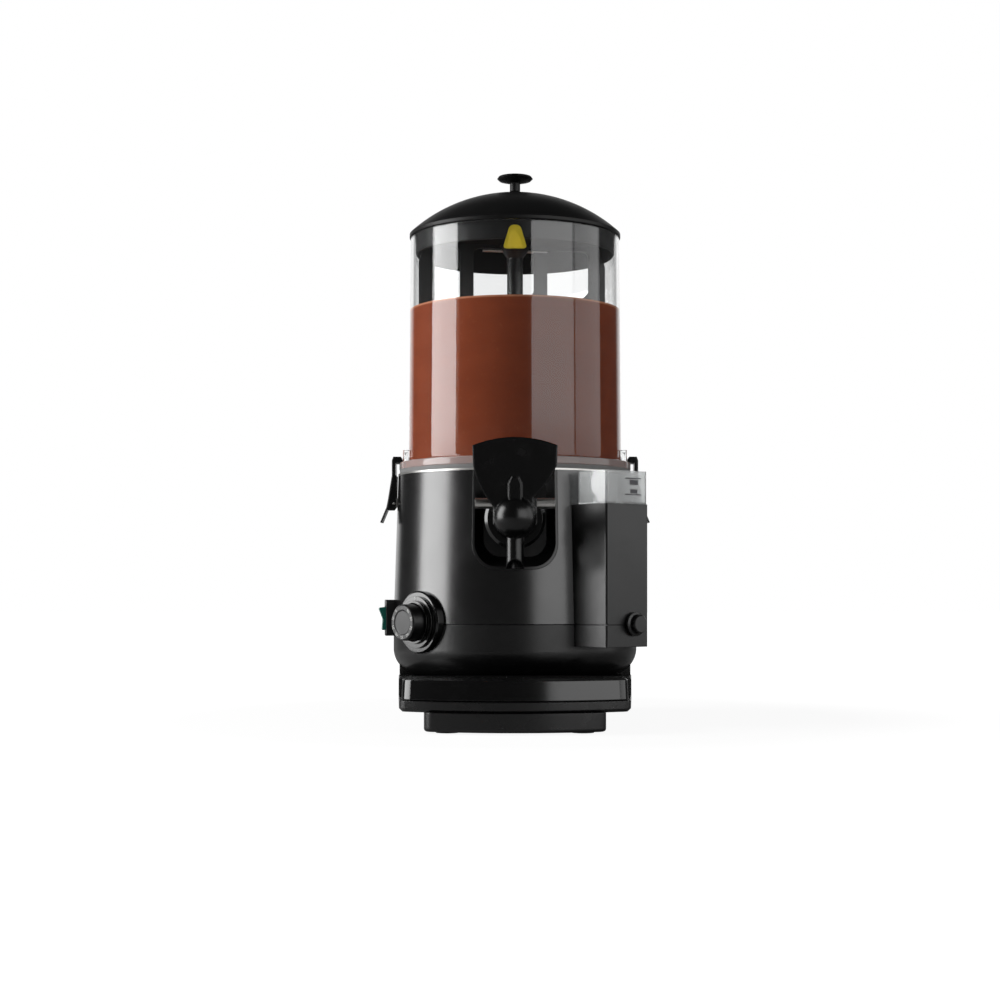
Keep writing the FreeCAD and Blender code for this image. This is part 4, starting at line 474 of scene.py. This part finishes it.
def make_tray():
    """Open tray whose walls lean back a little, with a step inside for the grid."""
    outside = [(0.4, 31.35), (0.8, 31.5), (1.0, 31.9), (0.95, 32.6), (0.1, 50.0), (0.05, 50.5)]
    rim = [(-0.15, 50.9), (-0.5, 51.0), (-0.9, 50.95), (-1.05, 50.7)]
    inside = [(-1.1, 48.85), (-2.1, 48.8), (-2.2, 48.6), (-2.3, 34.4), (-2.6, 33.7), (-3.2, 33.5)]
    shape = skin([[(spot.x, spot.y, height) for spot in tray_line(spread)]
                  for spread, height in outside + rim + inside])
    piece("tray", shape, TRAY_BLACK, "drip_tray", 50.0, ["drip_tray"])


# ---------------------------------------------------------------- tap spring
def make_tap_spring():
    """Coil round the piston's rod, filling the box of the CAD spring."""
    low, high = (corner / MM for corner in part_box("tap_spring"))
    wire, turns, travel = 0.8, 4, 6.0
    steps, sides = 24 * turns, 12
    coil = (high.x - low.x) / 2 - wire
    run = high.y - low.y - 2 * wire
    rings = []
    for step in range(steps + 1):
        turn = 2 * math.pi * turns * step / steps
        outwards = Vector((math.cos(turn), 0, math.sin(turn)))
        centre = Vector(((low.x + high.x) / 2, high.y - wire - run * step / steps,
                         (low.z + high.z) / 2)) + outwards * coil
        around = [2 * math.pi * side / sides for side in range(sides)]
        rings.append([centre + wire * (outwards * math.cos(a) + Vector((0, math.sin(a), 0)))
                      for a in around])
    spring = piece("tap_spring_coil", skin(rings), PIN_STEEL, "root", stands_for=["tap_spring"])
    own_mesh(spring)


# ---------------------------------------------------------------- marks
def make_sticker():
    """Small plain yellow sticker on the front of the bowl, bent to its wall."""
    half, top_half, low, high = 12.5, 5.25, 481.5, 505.5
    outline = eased([(-half, low), (half, low), (top_half, high), (-top_half, high)], 4.5, 8)
    shape = skin([[(x, -math.sqrt((bowl_wall(z) + lift) ** 2 - x ** 2), z) for x, z in outline]
                  for lift in (0.02, 0.14)])
    piece("bowl_sticker", shape, STICKER_YELLOW, "root")


def lettering(name, text, height, place, look, body):
    """Raised figures, as a mesh, on a frame whose Z axis points out of the surface."""
    curve = bpy.data.curves.new(name, "FONT")
    curve.body = text
    curve.size = height
    curve.extrude = 0.06
    curve.align_x = "CENTER"
    curve.align_y = "CENTER"
    writer = bpy.data.objects.new(name + "_line", curve)
    mesh = bpy.data.meshes.new_from_object(writer)
    shape = bmesh.new()
    shape.from_mesh(mesh)
    bmesh.ops.transform(shape, matrix=place, verts=shape.verts)
    bpy.data.objects.remove(writer)
    bpy.data.meshes.remove(mesh)
    bpy.data.curves.remove(curve)
    return piece(name, shape, look, body)


def make_dial_marks():
    """Figures round the knob's face, and a pointer line on the bezel above them."""
    ring, first, between = 15.0, 130, 35
    knob_out, bezel_out = 24.5, 7.5
    face = outward(DIAL_AZIMUTH, SEAM_RADIUS + knob_out, DIAL_HEIGHT)
    for number, figure in enumerate(("0", "20", "30", "40", "50", "60", "70", "80", "90")):
        turn = math.radians(first + between * number)
        spot = Vector((ring * math.cos(turn), ring * math.sin(turn), 0.02))
        upright = Matrix.Rotation(turn - math.radians(90), 4, "Z")
        lettering("dial_figure_" + figure, figure, 4.4, face @ Matrix.Translation(spot) @ upright,
                  MARK_WHITE, "dial")
    half, low, high = 0.6, 22.7, 26.1
    pointer = prism(eased([(-half, low), (half, low), (half, high), (-half, high)], 0.3), 0, 0.12)
    bezel = outward(DIAL_AZIMUTH, SEAM_RADIUS + bezel_out, DIAL_HEIGHT)
    bmesh.ops.transform(pointer, matrix=bezel, verts=pointer.verts)
    piece("dial_pointer", pointer, MARK_WHITE, "root")


def make_level_marks():
    """Plain level lines on the front face of the filler cup."""
    cup_front, raised = 174.25, 0.08
    face = outward(FILLER_AZIMUTH, cup_front, 0)
    bars = ((-3.0, 18.5, 248.4, 0.5), (3.0, 14.5, 244.6, 2.4),
            (-3.0, 18.5, 232.4, 0.5), (4.0, 13.5, 235.6, 2.0))
    for number, (left, right, height, half) in enumerate(bars):
        low, high = height - half, height + half
        bar = prism(eased([(left, low), (right, low), (right, high), (left, high)], 0.3), 0, raised)
        bmesh.ops.transform(bar, matrix=face, verts=bar.verts)
        piece(f"cup_line_{number}", bar, MARK_GREY, "root")


def make_screws():
    """Domed screw heads: one on the side of the filler box and four on the back of the casing."""
    aside, up, out = 28.5, 212, 158
    side_of_box = (outward(FILLER_AZIMUTH, 0, 0) @ Matrix.Translation((aside, up, out))
                   @ Matrix.Rotation(math.radians(90), 4, "Y"))
    spots = [("filler_side_screw", side_of_box, RUBBER_BLACK)]
    height, sunk = 108.0, 0.2
    for number, azimuth in enumerate((150, 165, 195, 210)):
        spots.append((f"casing_screw_{number}", outward(azimuth, SEAM_RADIUS - sunk, height), PIN_STEEL))
    for name, place, look in spots:
        shape = lathe([(0, 0), (3.2, 0), (3.2, 0.5), (2.7, 1.3), (1.6, 1.8), (0, 1.9)], 32)
        bmesh.ops.transform(shape, matrix=place, verts=shape.verts)
        piece(name, shape, look, "root")


# ---------------------------------------------------------------- finishes on the CAD's own pieces
LOOKS = {
    DRUM_PAINT: "outer_shell",
    CASING_BLACK: "lower_casing tap_niche dial_knob switch_frame filler_box drain_knob",
    BASE_BLACK: "base_housing plinth drip_grid base_cover",
    TRAY_BLACK: "drip_tray tap_collar dial_bezel",
    LID_BLACK: "lid lid_skirt lid_knob",
    TAP_BLACK: "tap_body tap_lever latch_right latch_left",
    STIRRER_BLACK: "stirrer",
    BOWL_CLEAR: "clear_bowl",
    CUP_CLEAR: "filler_cup",
    CHOCOLATE: "drink",
    PIN_STEEL: "tap_pin tap_piston tap_spring drive_shaft stirrer_cross_pin dial_spindle latch_pin_right"
               " latch_pin_left base_screws lid_knob_screw motor_rotor gearbox_posts motor_pinion",
    SHEET_STEEL: "pot water_jacket motor_case filler_pipe latch_bracket_right latch_bracket_left",
    HEATER_STEEL: "heating_element",
    GASKET_GREY: "bowl_gasket",
    RUBBER_BLACK: "feet tap_seal cable_gland",
    ROCKER_GREEN: "switch_rocker",
    PART_CREAM: "thermal_cutout thermostat switch_body terminal_block",
    GEAR_NYLON: "output_gear",
    BRONZE: "shaft_bush gearbox_bush",
    CAST_GREY: "gearbox_case gearbox_lid",
}


def finish_nodes():
    for look, names in LOOKS.items():
        for name in names.split():
            mesh = nodes[name].data
            mesh.materials.clear()
            mesh.materials.append(look)


# ---------------------------------------------------------------- stage, lights and camera
def stage_floor():
    """Pale floor that the camera sees as white, apart from the object's soft shadow."""
    half, front, back = 6, -3.2, 9
    shape = bmesh.new()
    shape.faces.new([shape.verts.new((x, y, 0))
                     for x, y in ((-half, front), (half, front), (half, back), (-half, back))])
    mesh = bpy.data.meshes.new("floor")
    shape.to_mesh(mesh)
    shape.free()
    floor = bpy.data.objects.new("floor", mesh)
    bpy.context.scene.collection.objects.link(floor)
    mesh.materials.append(material("floor_pale", floor_finish))


def floor_finish(finish):
    """Pale matt floor that lightens to the backdrop's white away from the machine."""
    matt = finish.node("ShaderNodeBsdfDiffuse", inputs={"Color": rgb(0.7, 0.7, 0.7)})
    white = finish.node("ShaderNodeEmission", inputs={"Color": rgb(1, 1, 1), "Strength": 1.16})
    reach = finish.node("ShaderNodeVectorMath", {"operation": "LENGTH"}, {0: finish.place()}, 1)
    share = finish.band(reach, 0.35, 0.9) * 0.2 + 0.8
    finish.surface(finish.node("ShaderNodeMixShader", inputs={
        0: finish.ray("Is Camera Ray") * share, 1: matt, 2: white}))


def studio_world():
    """White for the eye and through clear pieces, a white backdrop for gloss to show from behind the
    machine, and a dim room for all other light."""
    world = bpy.data.worlds.new("studio")
    world.use_nodes = True
    bpy.context.scene.world = world
    finish = Finish(world.node_tree)
    heading = finish.node("ShaderNodeSeparateXYZ", inputs={0: finish.node("ShaderNodeTexCoord", output=0)},
                          output=1)
    behind = finish.band(heading, 0.80, 0.90)
    bounces = finish.ray("Diffuse Depth") + finish.ray("Glossy Depth")
    through = finish.ray("Is Transmission Ray") * bounces.under(0.5)
    gloss = finish.ray("Is Glossy Ray") * behind
    seen = finish.ray("Is Camera Ray").most(through).most(gloss)
    room = finish.node("ShaderNodeBackground", inputs={"Color": rgb(1, 1, 1), "Strength": 0.05})
    backdrop = finish.node("ShaderNodeBackground", inputs={"Color": rgb(1, 1, 1), "Strength": 1.0})
    mixed = finish.node("ShaderNodeMixShader", inputs={0: seen, 1: room, 2: backdrop})
    finish.node("ShaderNodeOutputWorld", inputs={"Surface": mixed})


def softbox(name, azimuth, distance, width, power, matt=True):
    """Upright rectangular lamp that faces the machine from an azimuth. Without matt, only gloss shows it."""
    low, high = 0.02, 1.9
    lamp = bpy.data.lights.new(name, "AREA")
    lamp.shape = "RECTANGLE"
    lamp.size, lamp.size_y = width, high - low
    lamp.energy = power
    made = bpy.data.objects.new(name, lamp)
    made.matrix_world = outward(azimuth, distance, (low + high) / 2)
    made.visible_diffuse = matt
    bpy.context.scene.collection.objects.link(made)


def set_lights():
    softbox("left_softbox", azimuth=-82, distance=2.0, width=1.24, power=47)
    softbox("right_softbox", azimuth=41.2, distance=2.4, width=2.13, power=5)
    softbox("right_sheen", azimuth=41.2, distance=2.43, width=2.157, power=19, matt=False)
    softbox("right_far_softbox", azimuth=85.0, distance=2.4, width=1.58, power=12)


def set_camera():
    """Level camera in front of the tap, whose shift brings the whole machine into the frame."""
    distance, height = 1.937, 0.137
    camera = bpy.data.cameras.new("camera")
    camera.sensor_width = 36
    camera.lens = 65.16
    camera.shift_x, camera.shift_y = -0.015, 0.09
    made = bpy.data.objects.new("camera", camera)
    made.location = (0, -distance, height)
    made.rotation_euler = (math.radians(90), 0, 0)
    bpy.context.scene.collection.objects.link(made)
    bpy.context.scene.camera = made


bpy.context.scene.view_settings.view_transform = "Standard"
set_camera()
finish_nodes()
make_bowl()
make_drink()
make_lid()
make_tray()
make_tap_spring()
make_sticker()
make_dial_marks()
make_level_marks()
make_screws()
stage_floor()
studio_world()
set_lights()
